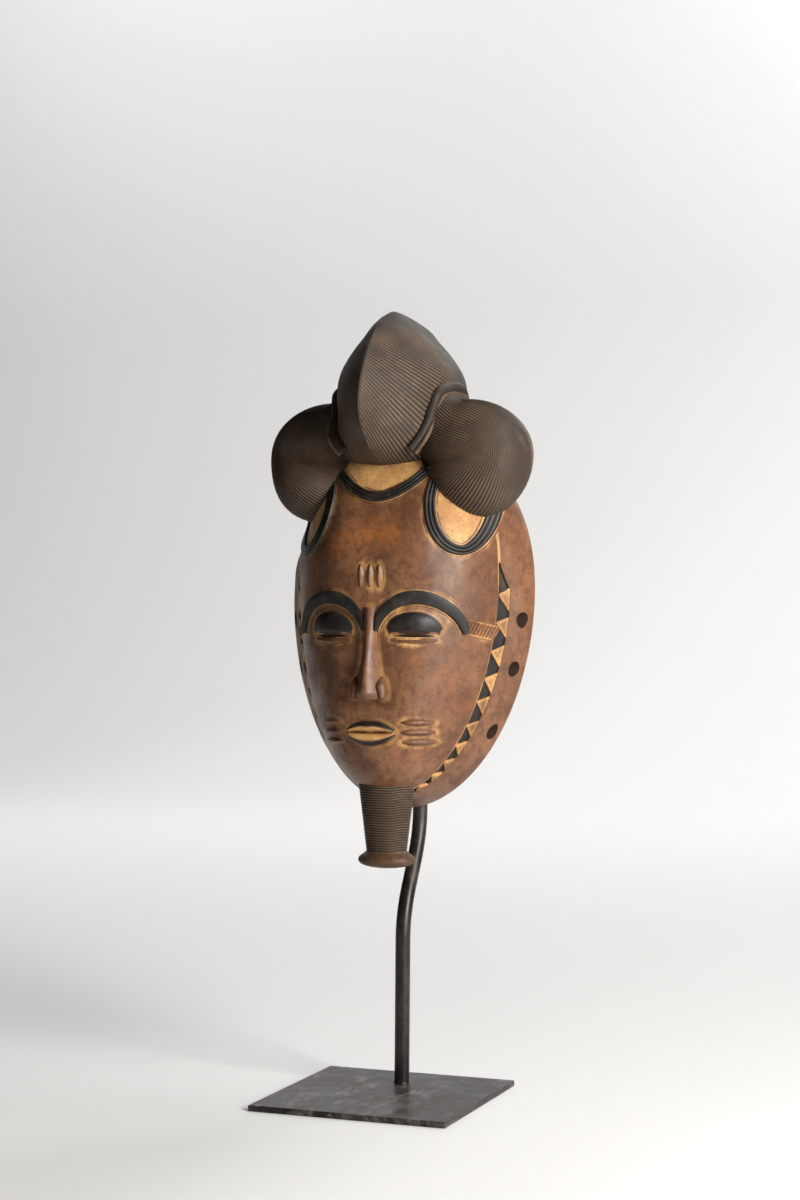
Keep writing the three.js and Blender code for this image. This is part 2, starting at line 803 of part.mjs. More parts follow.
function makeRod() {
  const plateTop = plateThickness + restGap;
  const bendStart = plateTop + rodStraightRise;
  const bendEnd = bendStart + rodBendRise;
  const pull = rodBendRise * 0.42;
  const tipZ = faceCentreZ + rodTipHeight(rodTipY);
  const climb = bendEnd + (tipZ - bendEnd) * 0.35;
  const path = new THREE.CurvePath();
  const at = (y, z) => new THREE.Vector3(0, y, z);
  path.add(new THREE.LineCurve3(at(rodFootY, plateTop), at(rodFootY + rodLean, bendStart)));
  path.add(new THREE.CubicBezierCurve3(
    at(rodFootY + rodLean, bendStart), at(rodFootY + rodLean, bendStart + pull),
    at(rodBackY, bendEnd - pull), at(rodBackY, bendEnd),
  ));
  path.add(new THREE.LineCurve3(at(rodBackY, bendEnd), at(rodBackY, climb)));
  const leanPull = (tipZ - climb) * 0.4;
  path.add(new THREE.CubicBezierCurve3(
    at(rodBackY, climb), at(rodBackY, climb + leanPull), at(rodTipY, tipZ - leanPull), at(rodTipY, tipZ),
  ));
  const radius = rodDiameter / 2;
  const ring = (point, tangent, ringRadius) => {
    const up = tangent.clone().normalize();
    const side = new THREE.Vector3(1, 0, 0);
    const depth = new THREE.Vector3().crossVectors(up, side);
    return turns(10).map((turn) => point.clone()
      .addScaledVector(side, ringRadius * Math.cos(turn))
      .addScaledVector(depth, ringRadius * Math.sin(turn))
      .toArray());
  };
  const loops = [];
  const counts = [1, 8, 1, 8];
  path.curves.forEach((curve, index) => {
    for (const u of steps(counts[index]).slice(index ? 1 : 0)) {
      const tangent = index === 0 && u === 0 ? at(0, 1) : curve.getTangentAt(u);
      loops.push(ring(curve.getPointAt(u), tangent, radius));
    }
  });
  for (const angle of [0.5, 1, 1.4]) {
    loops.push(ring(at(rodTipY, tipZ + radius * Math.sin(angle)), at(0, 1), radius * Math.cos(angle)));
  }
  return loft(loops, undefined, [0, rodTipY, tipZ + radius]);
}

function makePlate() {
  const half = plateSide / 2;
  const square = (z, inset) => [[1, 1], [-1, 1], [-1, -1], [1, -1]].flatMap(([sx, sy]) => {
    const outer = half - inset;
    const cut = plateBevel * 2;
    const corners = [[sx * outer, sy * (outer - cut)], [sx * (outer - cut), sy * outer]];
    return (sx * sy > 0 ? corners : corners.reverse()).map(([x, y]) => [x, y, z]);
  });
  return loft([
    square(0, plateBevel), square(plateBevel, 0), square(plateThickness - plateBevel, 0),
    square(plateThickness, plateBevel),
  ]);
}

function meshOf(name, solid, material) {
  const { vertProperties, triVerts } = solid.getMesh();
  const geometry = new THREE.BufferGeometry();
  geometry.setAttribute('position', new THREE.BufferAttribute(vertProperties, 3));
  geometry.setIndex(new THREE.BufferAttribute(triVerts, 1));
  geometry.computeVertexNormals();
  const mesh = new THREE.Mesh(geometry, material);
  mesh.name = name;
  return mesh;
}

const wood = new THREE.MeshStandardMaterial({ color: 0x6b3d22, roughness: 0.45, metalness: 0 });
const rodSteel = new THREE.MeshStandardMaterial({ color: 0x1d1b1a, roughness: 0.4, metalness: 0.6 });
const plateSteel = new THREE.MeshStandardMaterial({ color: 0x35322f, roughness: 0.45, metalness: 0.6 });

const mask = meshOf('mask', makeMask(), wood);
mask.position.z = faceCentreZ;

const group = new THREE.Group();
group.add(mask);
group.add(meshOf('stand_rod', makeRod(), rodSteel));
group.add(meshOf('stand_foot', makePlate(), plateSteel));

export default group;
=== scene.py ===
# A carved wooden face mask with a beard and combed hair, on its bent rod and square foot plate.
# Carving sizes are millimetres from the middle of the face. The mask looks along -Y.

import math

import bpy
import numpy as np
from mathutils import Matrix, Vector


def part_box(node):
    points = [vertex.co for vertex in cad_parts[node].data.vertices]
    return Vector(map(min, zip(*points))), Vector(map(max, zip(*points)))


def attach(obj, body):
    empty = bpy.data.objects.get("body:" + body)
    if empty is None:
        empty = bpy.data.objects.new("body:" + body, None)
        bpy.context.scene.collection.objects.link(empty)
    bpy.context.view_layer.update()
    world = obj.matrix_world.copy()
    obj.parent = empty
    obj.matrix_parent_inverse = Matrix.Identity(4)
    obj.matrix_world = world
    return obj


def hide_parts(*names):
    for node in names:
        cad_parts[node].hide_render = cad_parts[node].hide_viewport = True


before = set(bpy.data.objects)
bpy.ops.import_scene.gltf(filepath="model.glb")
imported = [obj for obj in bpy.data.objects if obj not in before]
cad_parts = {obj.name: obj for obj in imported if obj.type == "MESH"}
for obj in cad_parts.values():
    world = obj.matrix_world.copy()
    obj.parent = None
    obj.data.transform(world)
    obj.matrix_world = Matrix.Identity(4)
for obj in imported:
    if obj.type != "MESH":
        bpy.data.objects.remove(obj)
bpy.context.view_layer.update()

MM = 0.001

# Body of the mask

FACE_FRONT_Y = -25.0
FACE_EDGE_Y = 24.0
CHIN_EDGE_ADVANCE = 20.0
CROWN_EDGE_ADVANCE = 14.0
FACE_HALF_WIDTH = 71.0
FACE_RISE = 100.0
FACE_DROP = 144.0
FACE_POWER_ABOVE = 2.6
FACE_POWER_BELOW = 2.0
RIM_HALF_WIDTH = 87.5
RIM_RISE = 106.5
RIM_DROP = 142.0
RIM_CENTRE_DROP = 13.0
RIM_POWER_ABOVE = 2.2
RIM_POWER_BELOW = 1.93
REAR_Y = 53.0
REAR_LEAN = 0.084
TEMPLE_TAPER = 0.1
RIM_TAPER = 0.04
WALL = 8.5

# Carving. A rim hole's place is its turn below the middle and its share of the flange's width.

SLIT_HEIGHT = 2.2
SLIT_FALL = 0.75
RIM_HOLE_WIDTH = 8.0
RIM_HOLE_HEIGHT = 10.5
RIM_HOLE_PLACES = ((0.147, 0.64), (0.384, 0.65), (0.72, 0.7))
TOOTH_COUNT = 10
BAND_START = -0.05
BAND_END = 1.34
BAND_WIDTH = 10.5
BAND_DEPTH = 1.5
BAND_POINT_SHARE = 0.06
TOOTH_BASE_SHARE = 0.8
RELIEF = 2.0
BROW_WIDTH = 9.0
NOSE_BRIDGE_RISE = 3.0
NOSE_TIP_RISE = 11.5
NOSE_WING_WIDTH = 9.2
NOSE_WING_LENGTH = 13.0
NOSE_WING_RISE = 7.2
UPPER_LIP_WIDTH = 7.0
LOWER_LIP_WIDTH = 8.0
LIP_RISE = 5.8
MARK_WIDTH = 4.6
MARK_PITCH = 6.4
FOREHEAD_MARK_LENGTH = 15.0
CHEEK_MARK_LENGTH = 18.0
RIDGED_BAND_WIDTH = 6.6
FRONT_BAND_HALF_SPAN = 38.0
FRONT_BAND_RISE = 25.5
LOOP_BAND_REACH = 16.5
LOOP_BAND_X = FACE_HALF_WIDTH - LOOP_BAND_REACH
LOOP_BAND_INNER_SHARE = 1.18
LOOP_BAND_OUTER_SHARE = 0.88
LOOP_BAND_DROP = 35.0
LOOP_ZONE_RISE = 40.0
CORD_WIDTH = 8.8
CORD_RIBS = 10
CREST_CENTRE_Y = 20.0
CREST_CENTRE_Z = 110.0
CREST_HALF_WIDTH = 42.5
CREST_RISE = 66.5
CREST_DROP = 40.0
CREST_REACH = 65.5
CREST_REAR_REACH = 180.0
CREST_POWER_ABOVE = 1.7
CREST_POWER_BELOW = 1.9
KEEL_BEAD_RADIUS = 1.1
LOBE_CENTRE = np.array([48.0, 30.3, 81.0])
LOBE_HALF_WIDTH = 42.6
LOBE_HALF_DEPTH = 44.0
LOBE_RISE = 36.5
LOBE_DROP = 44.0
LOBE_SHOULDER = 58.0
LOBE_PINCH = 0.14
LOBE_CORNER = np.array([0.45, -0.55, -0.7])
ROLL_RADIUS = 3.9
ROLL_STRIP_RADIUS = 1.5
BEARD_Y = 4.0
BEARD_FLATNESS = 0.8
BEARD_TOP_WIDTH = 36.5
BEARD_END_WIDTH = 27.9
BEARD_LENGTH = 36.0
BEARD_RINGS = 27
BEARD_SEAM_TURN = 1.72 * np.pi
BEARD_DISC_WIDTH = 38.5
BEARD_DISC_HEIGHT = 11.0
CHIN_RADIUS = 13.0

# Combing. The crest's combs fall outward and lean back by a slope at its front tip and another at
# its crown. Those of a bun spread from a root inside the fold, up to a turn away from it.

COMB_DEPTH = 0.55
COMB_SAMPLES = 4
CREST_COMB_PITCH = 1.6
CREST_COMB_FALL = (1.7, 0.38)
CREST_COMB_LEAN = (0.5, 0.22)
LOBE_COMBS = 58
LOBE_COMB_ROOT = np.array([-0.68, -0.72, -0.29])
LOBE_COMB_TILT = 19.0
LOBE_COMBED_TURN = 2.3

# Points along the roll in the fold, from the middle of the bun, and how far the bead beside it
# lies from each

ROLL_PLACES = np.array([
    [-13, 30, 36], [-10.4, 12.5, 44], [-12, -5, 44.5], [-12.6, -24, 39.5], [-14.6, -30.5, 29],
    [-15.4, -36, 19.5], [-18.6, -41.5, 9.8], [-24.5, -44.5, 1.5],
])
ROLL_STRIP_SHIFT = np.array([
    [1.6, 2.5, -3.4], [1.4, 2.5, -3.6], [1.2, 2.5, -3.6], [1.8, 1, -3.8], [3.2, -0.6, -3],
    [3.8, -1.6, -2.4], [3.6, -1, -2.6], [3, 2, -2.5],
])

# Ochre left beside raised work, and reddish worn patches: x, z, half width, half height, amount

HALO_STRENGTH = 0.62
HALO_REACH = 2.8
WORN_PATCHES = (
    (-4, 26, 17, 10, 0.9), (12, 33, 10, 8, 0.5), (40, -62, 12, 18, 0.3), (52, -85, 8, 12, 0.25),
    (22, -112, 12, 9, 0.3), (-22, 18, 10, 10, 0.35), (0, -70, 7, 10, 0.3),
)

mask_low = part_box("mask")[0]
FACE_CENTRE_Z = mask_low[2] / MM + FACE_DROP + BEARD_LENGTH + BEARD_DISC_HEIGHT

# Shares of the face: hairline to chin in three equal parts, five eye widths across,
# and the mouth a third of the way from the nose down to the chin

HAIRLINE_Z = FACE_RISE * 0.52
CHIN_Z = -FACE_DROP
THIRD = (HAIRLINE_Z - CHIN_Z) / 3
BROW_Z = HAIRLINE_Z - THIRD
NOSE_BASE_Z = BROW_Z - THIRD
MOUTH_Z = NOSE_BASE_Z - (NOSE_BASE_Z - CHIN_Z) / 3
EYE_WIDTH = 2 * FACE_HALF_WIDTH / 5
EYE_X = EYE_WIDTH
EYE_Z = BROW_Z - THIRD * 0.38

# Tones that each solid carries on its corners: black paint (painted shade on the walls of the eye
# slits and rim holes), ochre, hair, worn comb ridge, bare wood of the inside, and the reddish worn
# patches
TONES = ("paint", "ochre", "hair", "ridge", "bare", "red")

# Solids from loops of points


def smooth(value, start, end):
    u = np.clip((value - start) / (end - start), 0, 1)
    return u * u * (3 - 2 * u)


def full_turn(count):
    return np.linspace(0, 2 * np.pi, count, endpoint=False)


def waves(points, size, seed, count=14):
    """Smooth seeded unevenness, mostly between -1 and 1, with swells of about the given size."""
    rng = np.random.default_rng(seed)
    directions = rng.normal(size=(count, 3))
    directions /= np.linalg.norm(directions, axis=1)[:, None]
    lengths = size * rng.uniform(0.7, 1.6, count)
    phases = rng.uniform(0, 2 * np.pi, count)
    angles = points @ (directions / lengths[:, None]).T * 2 * np.pi + phases
    return np.sin(angles).sum(axis=-1) / math.sqrt(count)


def add_tones(mesh, tones):
    """Each tone has one value, or one for each point of the mesh; those not given are 0."""
    corners = np.zeros(len(mesh.loops), dtype=np.int64)
    mesh.loops.foreach_get("vertex_index", corners)
    for tone in TONES:
        values = np.broadcast_to(tones.get(tone, 0.0), len(mesh.vertices))
        layer = mesh.attributes.new(tone, "FLOAT", "CORNER")
        layer.data.foreach_set("value", np.ascontiguousarray(values[corners], dtype=np.float32))


def mesh_object(name, points, faces, tones, raised):
    """A closed mesh in metres from millimetres, faces turned outward, tones on its corners."""
    mesh = bpy.data.meshes.new(name)
    placed = (np.asarray(points) + [0, 0, raised]) * MM
    mesh.from_pydata(placed.tolist(), [], faces)
    mesh.update()
    add_tones(mesh, tones)
    piece = bpy.data.objects.new(name, mesh)
    bpy.context.scene.collection.objects.link(piece)
    triangles = [(f[0], f[i], f[i + 1]) for f in faces for i in range(1, len(f) - 1)]
    a, b, c = (placed[[t[i] for t in triangles]] for i in range(3))
    if np.einsum("ij,ij->i", a, np.cross(b, c)).sum() < 0:
        mesh.flip_normals()
    return piece


def loft(name, loops, tones, start=None, end=None, raised=FACE_CENTRE_Z):
    """Neighbouring loops are joined by faces; the first and last are closed by fans."""
    loops = np.asarray(loops, dtype=float)
    rows, count, _ = loops.shape
    start = loops[0].mean(axis=0) if start is None else start
    end = loops[-1].mean(axis=0) if end is None else end
    points = np.vstack([loops.reshape(-1, 3), start, end])
    column = np.arange(count)
    beside = (column + 1) % count
    faces = []
    for row in range(rows - 1):
        first = row * count
        faces.extend(zip(
            (first + column).tolist(), (first + beside).tolist(),
            (first + count + beside).tolist(), (first + count + column).tolist(),
        ))
    last = (rows - 1) * count
    pole = rows * count
    faces.extend((int(b), int(a), pole) for a, b in zip(column, beside))
    faces.extend((int(last + a), int(last + b), pole + 1) for a, b in zip(column, beside))
    spread = {}
    for tone, values in tones.items():
        grid = np.broadcast_to(values, (rows, count)).astype(float)
        spread[tone] = np.concatenate([grid.ravel(), [grid[0].mean(), grid[-1].mean()]])
    return mesh_object(name, points, faces, spread, raised)


def tube(name, centre, radius, sides, tones, raised=FACE_CENTRE_Z):
    """A round bar along a line of points."""
    centre = np.asarray(centre, float)
    along = np.gradient(centre, axis=0)
    along /= np.linalg.norm(along, axis=1)[:, None]
    first = np.cross(along[0], [1.0, 0.2, 0.1])
    normals = [first / np.linalg.norm(first)]
    for tangent in along[1:]:
        turned = normals[-1] - tangent * (normals[-1] @ tangent)
        normals.append(turned / np.linalg.norm(turned))
    normals = np.array(normals)
    binormals = np.cross(along, normals)
    turn = full_turn(sides)
    ring = (
        normals[:, None] * np.cos(turn)[None, :, None]
        + binormals[:, None] * np.sin(turn)[None, :, None]
    )
    radius = np.broadcast_to(radius, len(centre))
    return loft(name, centre[:, None] + ring * radius[:, None, None], tones, raised=raised)


def only(piece):
    bpy.ops.object.select_all(action="DESELECT")
    piece.select_set(True)
    bpy.context.view_layer.objects.active = piece


def settled(name, location, rotation=(0, 0, 0), scale=(1, 1, 1)):
    """The primitive just added, named, with its place in metres, its turn and its scale in its mesh."""
    piece = bpy.context.object
    piece.name = name
    piece.location = location
    piece.rotation_euler = rotation
    piece.scale = scale
    only(piece)
    bpy.ops.object.transform_apply(location=True, rotation=True, scale=True)
    return piece


def merged(name, pieces):
    """Solids that stay clear of each other, as one mesh."""
    only(pieces[0])
    for piece in pieces[1:]:
        piece.select_set(True)
    bpy.ops.object.join()
    pieces[0].name = name
    return pieces[0]


def apply_boolean(body, tool, operation):
    only(body)
    change = body.modifiers.new(operation.lower(), "BOOLEAN")
    change.operation = operation
    change.solver = "MANIFOLD"
    change.object = tool
    bpy.ops.object.modifier_apply(modifier=change.name)
    bpy.data.objects.remove(tool, do_unlink=True)


# The face: an oval that is fuller above its centre, domed forward, on a flange that runs back
# and outward to the rim


def oval(angle, half_width, rise, drop, power_above, power_below):
    c = np.cos(angle)
    s = np.sin(angle)
    power = np.where(s > 0, power_above, power_below)
    x = half_width * np.sign(c) * np.abs(c) ** (2 / power)
    z = np.where(s > 0, rise, drop) * np.sign(s) * np.abs(s) ** (2 / power)
    return x, z


def temple_share(x, z, taper, start, end):
    """The wearer's right temple is carved a little narrower than the left."""
    return np.where(x < 0, 1 - taper * smooth(z, start, end), 1.0)


def face_temple(x, z):
    return temple_share(x, z, TEMPLE_TAPER, 0.12 * FACE_RISE, 0.4 * FACE_RISE)


def edge_y(steepness, below):
    chin = FACE_EDGE_Y - CHIN_EDGE_ADVANCE * steepness ** 1.6
    crown = FACE_EDGE_Y - CROWN_EDGE_ADVANCE * steepness ** 2
    return np.where(below, chin, crown)


def face_y(x, z):
    below = z < 0
    reach = np.where(below, FACE_DROP, FACE_RISE)
    power = np.where(below, FACE_POWER_BELOW, FACE_POWER_ABOVE)
    half = FACE_HALF_WIDTH * face_temple(x, z)
    total = (np.abs(x) / half) ** power + (np.abs(z) / reach) ** power
    share = np.maximum(total ** (1 / power), 1e-6)
    steepness = np.minimum(np.abs(z) / reach / share, 1)
    fullness = 3 + np.where(below, 1.5 * steepness ** 2 + 9 * steepness ** 8, -1.55 * steepness ** 2)
    return FACE_FRONT_Y + (edge_y(steepness, below) - FACE_FRONT_Y) * share ** fullness


def on_face(x, z, lift=0.0):
    """Points of the face, lifted off it along its normal."""
    x, z, lift = np.broadcast_arrays(*(np.asarray(given, float) for given in (x, z, lift)))
    step = 0.5
    slope_x = (face_y(x + step, z) - face_y(x - step, z)) / (2 * step)
    slope_z = (face_y(x, z + step) - face_y(x, z - step)) / (2 * step)
    length = np.sqrt(slope_x ** 2 + 1 + slope_z ** 2)
    off = lift / length
    return np.stack([x + slope_x * off, face_y(x, z) - off, z + slope_z * off], -1)


def face_edge(angle):
    x, z = oval(angle, FACE_HALF_WIDTH, FACE_RISE, FACE_DROP, FACE_POWER_ABOVE, FACE_POWER_BELOW)
    steepness = np.abs(z) / np.where(z < 0, FACE_DROP, FACE_RISE)
    return np.stack([x * face_temple(x, z), edge_y(steepness, z < 0), z], -1)


def rear_at(z):
    return REAR_Y + REAR_LEAN * z


def rim_edge(angle, inset=0.0):
    x, z = oval(
        angle, RIM_HALF_WIDTH - inset, RIM_RISE - inset, RIM_DROP - inset,
        RIM_POWER_ABOVE, RIM_POWER_BELOW,
    )
    height = z - RIM_CENTRE_DROP
    narrowed = x * temple_share(x, height, RIM_TAPER, 0, 0.1 * FACE_RISE)
    return np.stack([narrowed, rear_at(height), height], -1)


def on_flange(angle, share, lift=0.0):
    """Points of the flange: share 0 at the face, 1 at the rim, lifted along the flange's normal."""
    angle, share, lift = np.broadcast_arrays(np.asarray(angle, float), share, lift)
    edge = face_edge(angle)
    rim = rim_edge(angle)
    along = face_edge(angle + 0.01) - face_edge(angle - 0.01)
    normal = np.cross(along, rim - edge)
    normal /= np.linalg.norm(normal, axis=-1)[..., None]
    inward = normal[..., 0] * edge[..., 0] + normal[..., 2] * edge[..., 2] < 0
    normal = np.where(inward[..., None], -normal, normal)
    return edge + (rim - edge) * share[..., None] + normal * lift[..., None]


def band_share(angle):
    below = np.arcsin(np.clip(-np.sin(angle), -1, 1))
    return (below - BAND_START) / (BAND_END - BAND_START)


def band_width(share):
    point = np.clip(share / BAND_POINT_SHARE, 0, 1)
    width = BAND_WIDTH * point * (1 - 0.5 * np.clip(share, 0, 1) ** 2)
    return np.where((share <= 0) | (share >= 1), 0, width)


# Raised work on the face: a strip follows a path of x and z, with its own width and section,
# inside a thin skirt that carries the ochre left beside it

feature_lines = []


def strip(
    name, path, half_width, section, count, across, side=1,
    skirt=1.5, sink=3.0, tones=None, ochre=1.0,
):
    u = np.linspace(0, 1, count + 1)
    x, z = path(u)
    before_x, before_z = path(np.maximum(u - 0.002, 0))
    after_x, after_z = path(np.minimum(u + 0.002, 1))
    run = np.hypot(after_x - before_x, after_z - before_z)
    side_x = (before_z - after_z) / run
    side_z = (after_x - before_x) / run
    half = np.broadcast_to(half_width(u), u.shape)
    v = np.linspace(-1, 1, across)
    margin = 1 + skirt / np.maximum(half, 0.3)
    place = np.concatenate([
        -margin[:, None], np.full((count + 1, 1), -1.0), np.tile(v, (count + 1, 1)),
        np.full((count + 1, 1), 1.0), margin[:, None],
    ], axis=1)
    raised = section(u[:, None], v[None, :]) * np.ones((count + 1, across))
    foot = np.full((count + 1, 1), 0.16)
    hem = np.full((count + 1, 1), 0.03)
    lift = np.concatenate([hem, foot, np.maximum(raised, 0.2), foot, hem], axis=1)
    px = side * (x[:, None] + side_x[:, None] * half[:, None] * place)
    pz = z[:, None] + side_z[:, None] * half[:, None] * place
    top = on_face(px, pz, lift)
    under = on_face(px[:, [-1, 0]], pz[:, [-1, 0]], -sink)
    loops = np.concatenate([top, under], axis=1)
    length = np.hypot(np.diff(x), np.diff(z)).sum()
    round_end = np.minimum(half, np.minimum(u, 1 - u) * length + 0.5)
    feature_lines.extend(zip((side * x).tolist(), z.tolist(), round_end.tolist()))
    edge_ochre = np.zeros(place.shape[1] + 2)
    edge_ochre[1:3] = ochre
    edge_ochre[-5:-3] = ochre
    given = {"ochre": edge_ochre}
    for tone, values in (tones or {}).items():
        grid = np.zeros((count + 1, place.shape[1] + 2))
        grid[:, 2:2 + across] = values(u[:, None], v[None, :]) if callable(values) else values
        given[tone] = np.maximum(grid, edge_ochre) if tone == "ochre" else grid
    return loft(name, loops, given)


def both_sides(make):
    return merged(make.__name__, [make(1), make(-1)])


def brow(side):
    reach = EYE_WIDTH * 0.9
    rise = EYE_WIDTH * 0.84

    def path(u):
        angle = np.pi * (0.97 - 0.97 * u)
        return EYE_X + 1.6 + reach * np.cos(angle), BROW_Z - rise + rise * np.sin(angle)

    def half(u):
        return BROW_WIDTH / 2 * (0.06 + 0.94 * np.sin(np.pi * (0.03 + 0.93 * u ** 0.9)) ** 0.75)

    def section(u, v):
        lean = 1 + 0.18 * v
        return RELIEF * 1.35 * smooth(1 - np.abs(v), 0, 0.14) * lean * (1 - 0.15 * v * v)

    return strip("brow", path, half, section, 64, 16, side, tones={"paint": 1.0})


def lid(side):
    half_span = EYE_WIDTH * 0.54
    rise = EYE_WIDTH * 0.5

    def top(u):
        return rise * np.sqrt(np.maximum(1 - (2 * u - 1) ** 2, 0.012))

    def path(u):
        return EYE_X + half_span * (2 * u - 1), EYE_Z + SLIT_HEIGHT / 2 + top(u) / 2

    def section(u, v):
        swell = np.sin(np.pi * u) ** 0.8
        upward = (v + 1) / 2
        shape = 0.72 + 0.55 * upward - 1.1 * upward ** 3
        return 0.3 + 3.9 * swell * np.clip(shape, 0.05, None)

    def paint(u, v):
        return np.where(v > -0.82, 1.0, 0.0)

    def rim(u, v):
        return np.where(v < -0.8, 0.55, 0.0)

    return strip(
        "lid", path, lambda u: top(u) / 2, section, 44, 18, side, skirt=0.8, sink=2.0,
        tones={"paint": paint, "ochre": rim}, ochre=0.45,
    )


def lower_lid(side):
    half_span = EYE_WIDTH * 0.5

    def path(u):
        return EYE_X + half_span * (2 * u - 1), EYE_Z - SLIT_HEIGHT / 2 - 1.5 - 1.2 * np.sin(np.pi * u)

    def half(u):
        return 1.3 * (0.18 + 0.82 * np.sin(np.pi * u))

    def section(u, v):
        return 1.1 * smooth(1 - np.abs(v), 0, 0.7) * (0.6 + 0.4 * np.sin(np.pi * u))

    return strip("lower_lid", path, half, section, 32, 8, side, skirt=1.0, sink=2.0, ochre=0.45)


def nose():
    length = BROW_Z - NOSE_BASE_Z

    def path(u):
        return 0 * u, BROW_Z - length * (0.1 + 0.9 * u)

    def half(u):
        return EYE_WIDTH * (0.16 + 0.28 * u ** 3)

    def section(u, v):
        rise = NOSE_BRIDGE_RISE + NOSE_TIP_RISE * u ** 1.5
        ridge = (1 - np.abs(v) ** 1.7) ** 0.9
        return 0.25 + rise * ridge * (1 - 0.25 * smooth(u, 0.93, 1.0))

    bridge = strip("nose", path, half, section, 56, 22, skirt=1.0, ochre=0.5)

    def wing(side):
        def wing_path(u):
            return EYE_WIDTH * (0.24 + 0.12 * u), NOSE_BASE_Z + 0.6 + NOSE_WING_LENGTH * (1 - u)

        def wing_half(u):
            return NOSE_WING_WIDTH / 2 * (0.3 + 0.7 * np.sin(np.pi * (u + 0.15) / 1.3))

        def wing_section(u, v):
            arch = np.sqrt(np.maximum(1 - v * v, 0))
            return 0.4 + NOSE_WING_RISE * arch * smooth(u, -0.2, 0.45)

        return strip(
            "wing", wing_path, wing_half, wing_section, 24, 14, side, skirt=0.8, ochre=0.45,
        )

    return [bridge, merged("wings", [wing(1), wing(-1)])]


def lips():
    half_span = EYE_WIDTH * 0.58

    def lip(upward, width):
        def path(u):
            across = 2 * u - 1
            bow = 0.0 if upward < 0 else 0.09 * np.exp(-(across / 0.16) ** 2)
            arch = 0.1 + 0.5 * (1 - across ** 2) - bow
            return half_span * across, MOUTH_Z + upward * width * arch

        def half(u):
            return width / 2 * (0.15 + 0.85 * np.sin(np.pi * u) ** 0.8)

        def section(u, v):
            return 0.4 + LIP_RISE * np.sin(np.pi * u) ** 0.5 * (1 - np.abs(v) ** 2.2) ** 0.7

        def outer_paint(u, v):
            return smooth(v * upward, 0.05, 0.3)

        def inner_gold(u, v):
            return smooth(-v * upward, -0.15, 0.15)

        return strip(
            "lip", path, half, section, 44, 16, skirt=1.2,
            tones={"paint": outer_paint, "ochre": inner_gold}, ochre=0.5,
        )

    return [lip(1, UPPER_LIP_WIDTH), lip(-1, LOWER_LIP_WIDTH)]


def chin():
    bpy.ops.mesh.primitive_uv_sphere_add(segments=48, ring_count=28, radius=CHIN_RADIUS * MM)
    place = (0, BEARD_Y * MM, (FACE_CENTRE_Z + CHIN_Z + CHIN_RADIUS) * MM)
    ball = settled("chin", place, scale=(EYE_WIDTH * 0.75 / CHIN_RADIUS, 1, 1))
    add_tones(ball.data, {})
    return ball


# Scars of beauty and the bands that edge the shaved zones


def mark(path, side=1):
    def half(u):
        return MARK_WIDTH / 2 * (0.12 + 0.88 * np.sin(np.pi * u) ** 0.8)

    def section(u, v):
        return 0.2 + 1.9 * (1 - np.abs(v) ** 1.6) * np.sin(np.pi * u) ** 0.5

    return strip("mark", path, half, section, 20, 9, side, skirt=0.8, ochre=0.6)


def marks():
    made = []
    for shift in (-MARK_PITCH, 0, MARK_PITCH):
        def upright(u, shift=shift):
            return shift + 0 * u, BROW_Z + MARK_PITCH + FOREHEAD_MARK_LENGTH * u

        def level(u, shift=shift):
            return EYE_WIDTH * 0.72 + CHEEK_MARK_LENGTH * u, MOUTH_Z + shift + 0 * u

        made += [mark(upright), mark(level), mark(level, -1)]
    return merged("marks", made)


def three_ridges(u, v):
    """Three rounded ridges side by side, the middle one a little lower."""
    wave = np.abs(np.sin(1.5 * np.pi * (v + 1)))
    return RELIEF * smooth(1 - np.abs(v), 0, 0.1) * (0.62 + 0.38 * wave ** 0.7)


def front_band_z(x):
    return HAIRLINE_Z + FRONT_BAND_RISE * (np.abs(x) / FRONT_BAND_HALF_SPAN) ** 1.9


def front_band():
    def path(u):
        x = FRONT_BAND_HALF_SPAN * (2 * u - 1)
        return x, front_band_z(x)

    return strip(
        "front_band", path, lambda u: RIDGED_BAND_WIDTH / 2, three_ridges, 80, 25,
        tones={"paint": 1.0},
    )


def loop_reach(across):
    """The loop reaches farther toward the middle of the forehead than toward the temple."""
    share = np.where(across < 0, LOOP_BAND_INNER_SHARE, LOOP_BAND_OUTER_SHARE)
    return LOOP_BAND_REACH * share


def loop_path(u):
    angle = np.pi * (0.84 + 1.1 * u)
    c = np.cos(angle)
    s = np.sin(angle)
    x = LOOP_BAND_X + loop_reach(c) * np.sign(c) * np.abs(c) ** 1.05
    return x, HAIRLINE_Z + LOOP_BAND_DROP * np.sign(s) * np.abs(s) ** 1.05


def loop_band(side):
    return strip(
        "loop_band", loop_path, lambda u: RIDGED_BAND_WIDTH / 2, three_ridges, 84, 22, side,
        tones={"paint": 1.0},
    )


def cord(side):
    start = EYE_X + EYE_WIDTH * 0.98
    end = FACE_HALF_WIDTH - 1.5

    def ribs(u):
        return np.abs(np.sin(np.pi * u * CORD_RIBS)) ** 0.8

    def section(u, v):
        return (0.45 + RELIEF * 0.85 * ribs(u)) * np.sqrt(np.maximum(1 - 0.92 * v * v, 0))

    return strip(
        "cord", lambda u: (start + (end - start) * u, EYE_Z + 6 - 5 * u), lambda u: CORD_WIDTH / 2,
        section, CORD_RIBS * 8, 9, side, skirt=1.2, ochre=0.9,
        tones={"ochre": lambda u, v: 1 - ribs(u), "paint": lambda u, v: 0.45 * ribs(u)},
    )


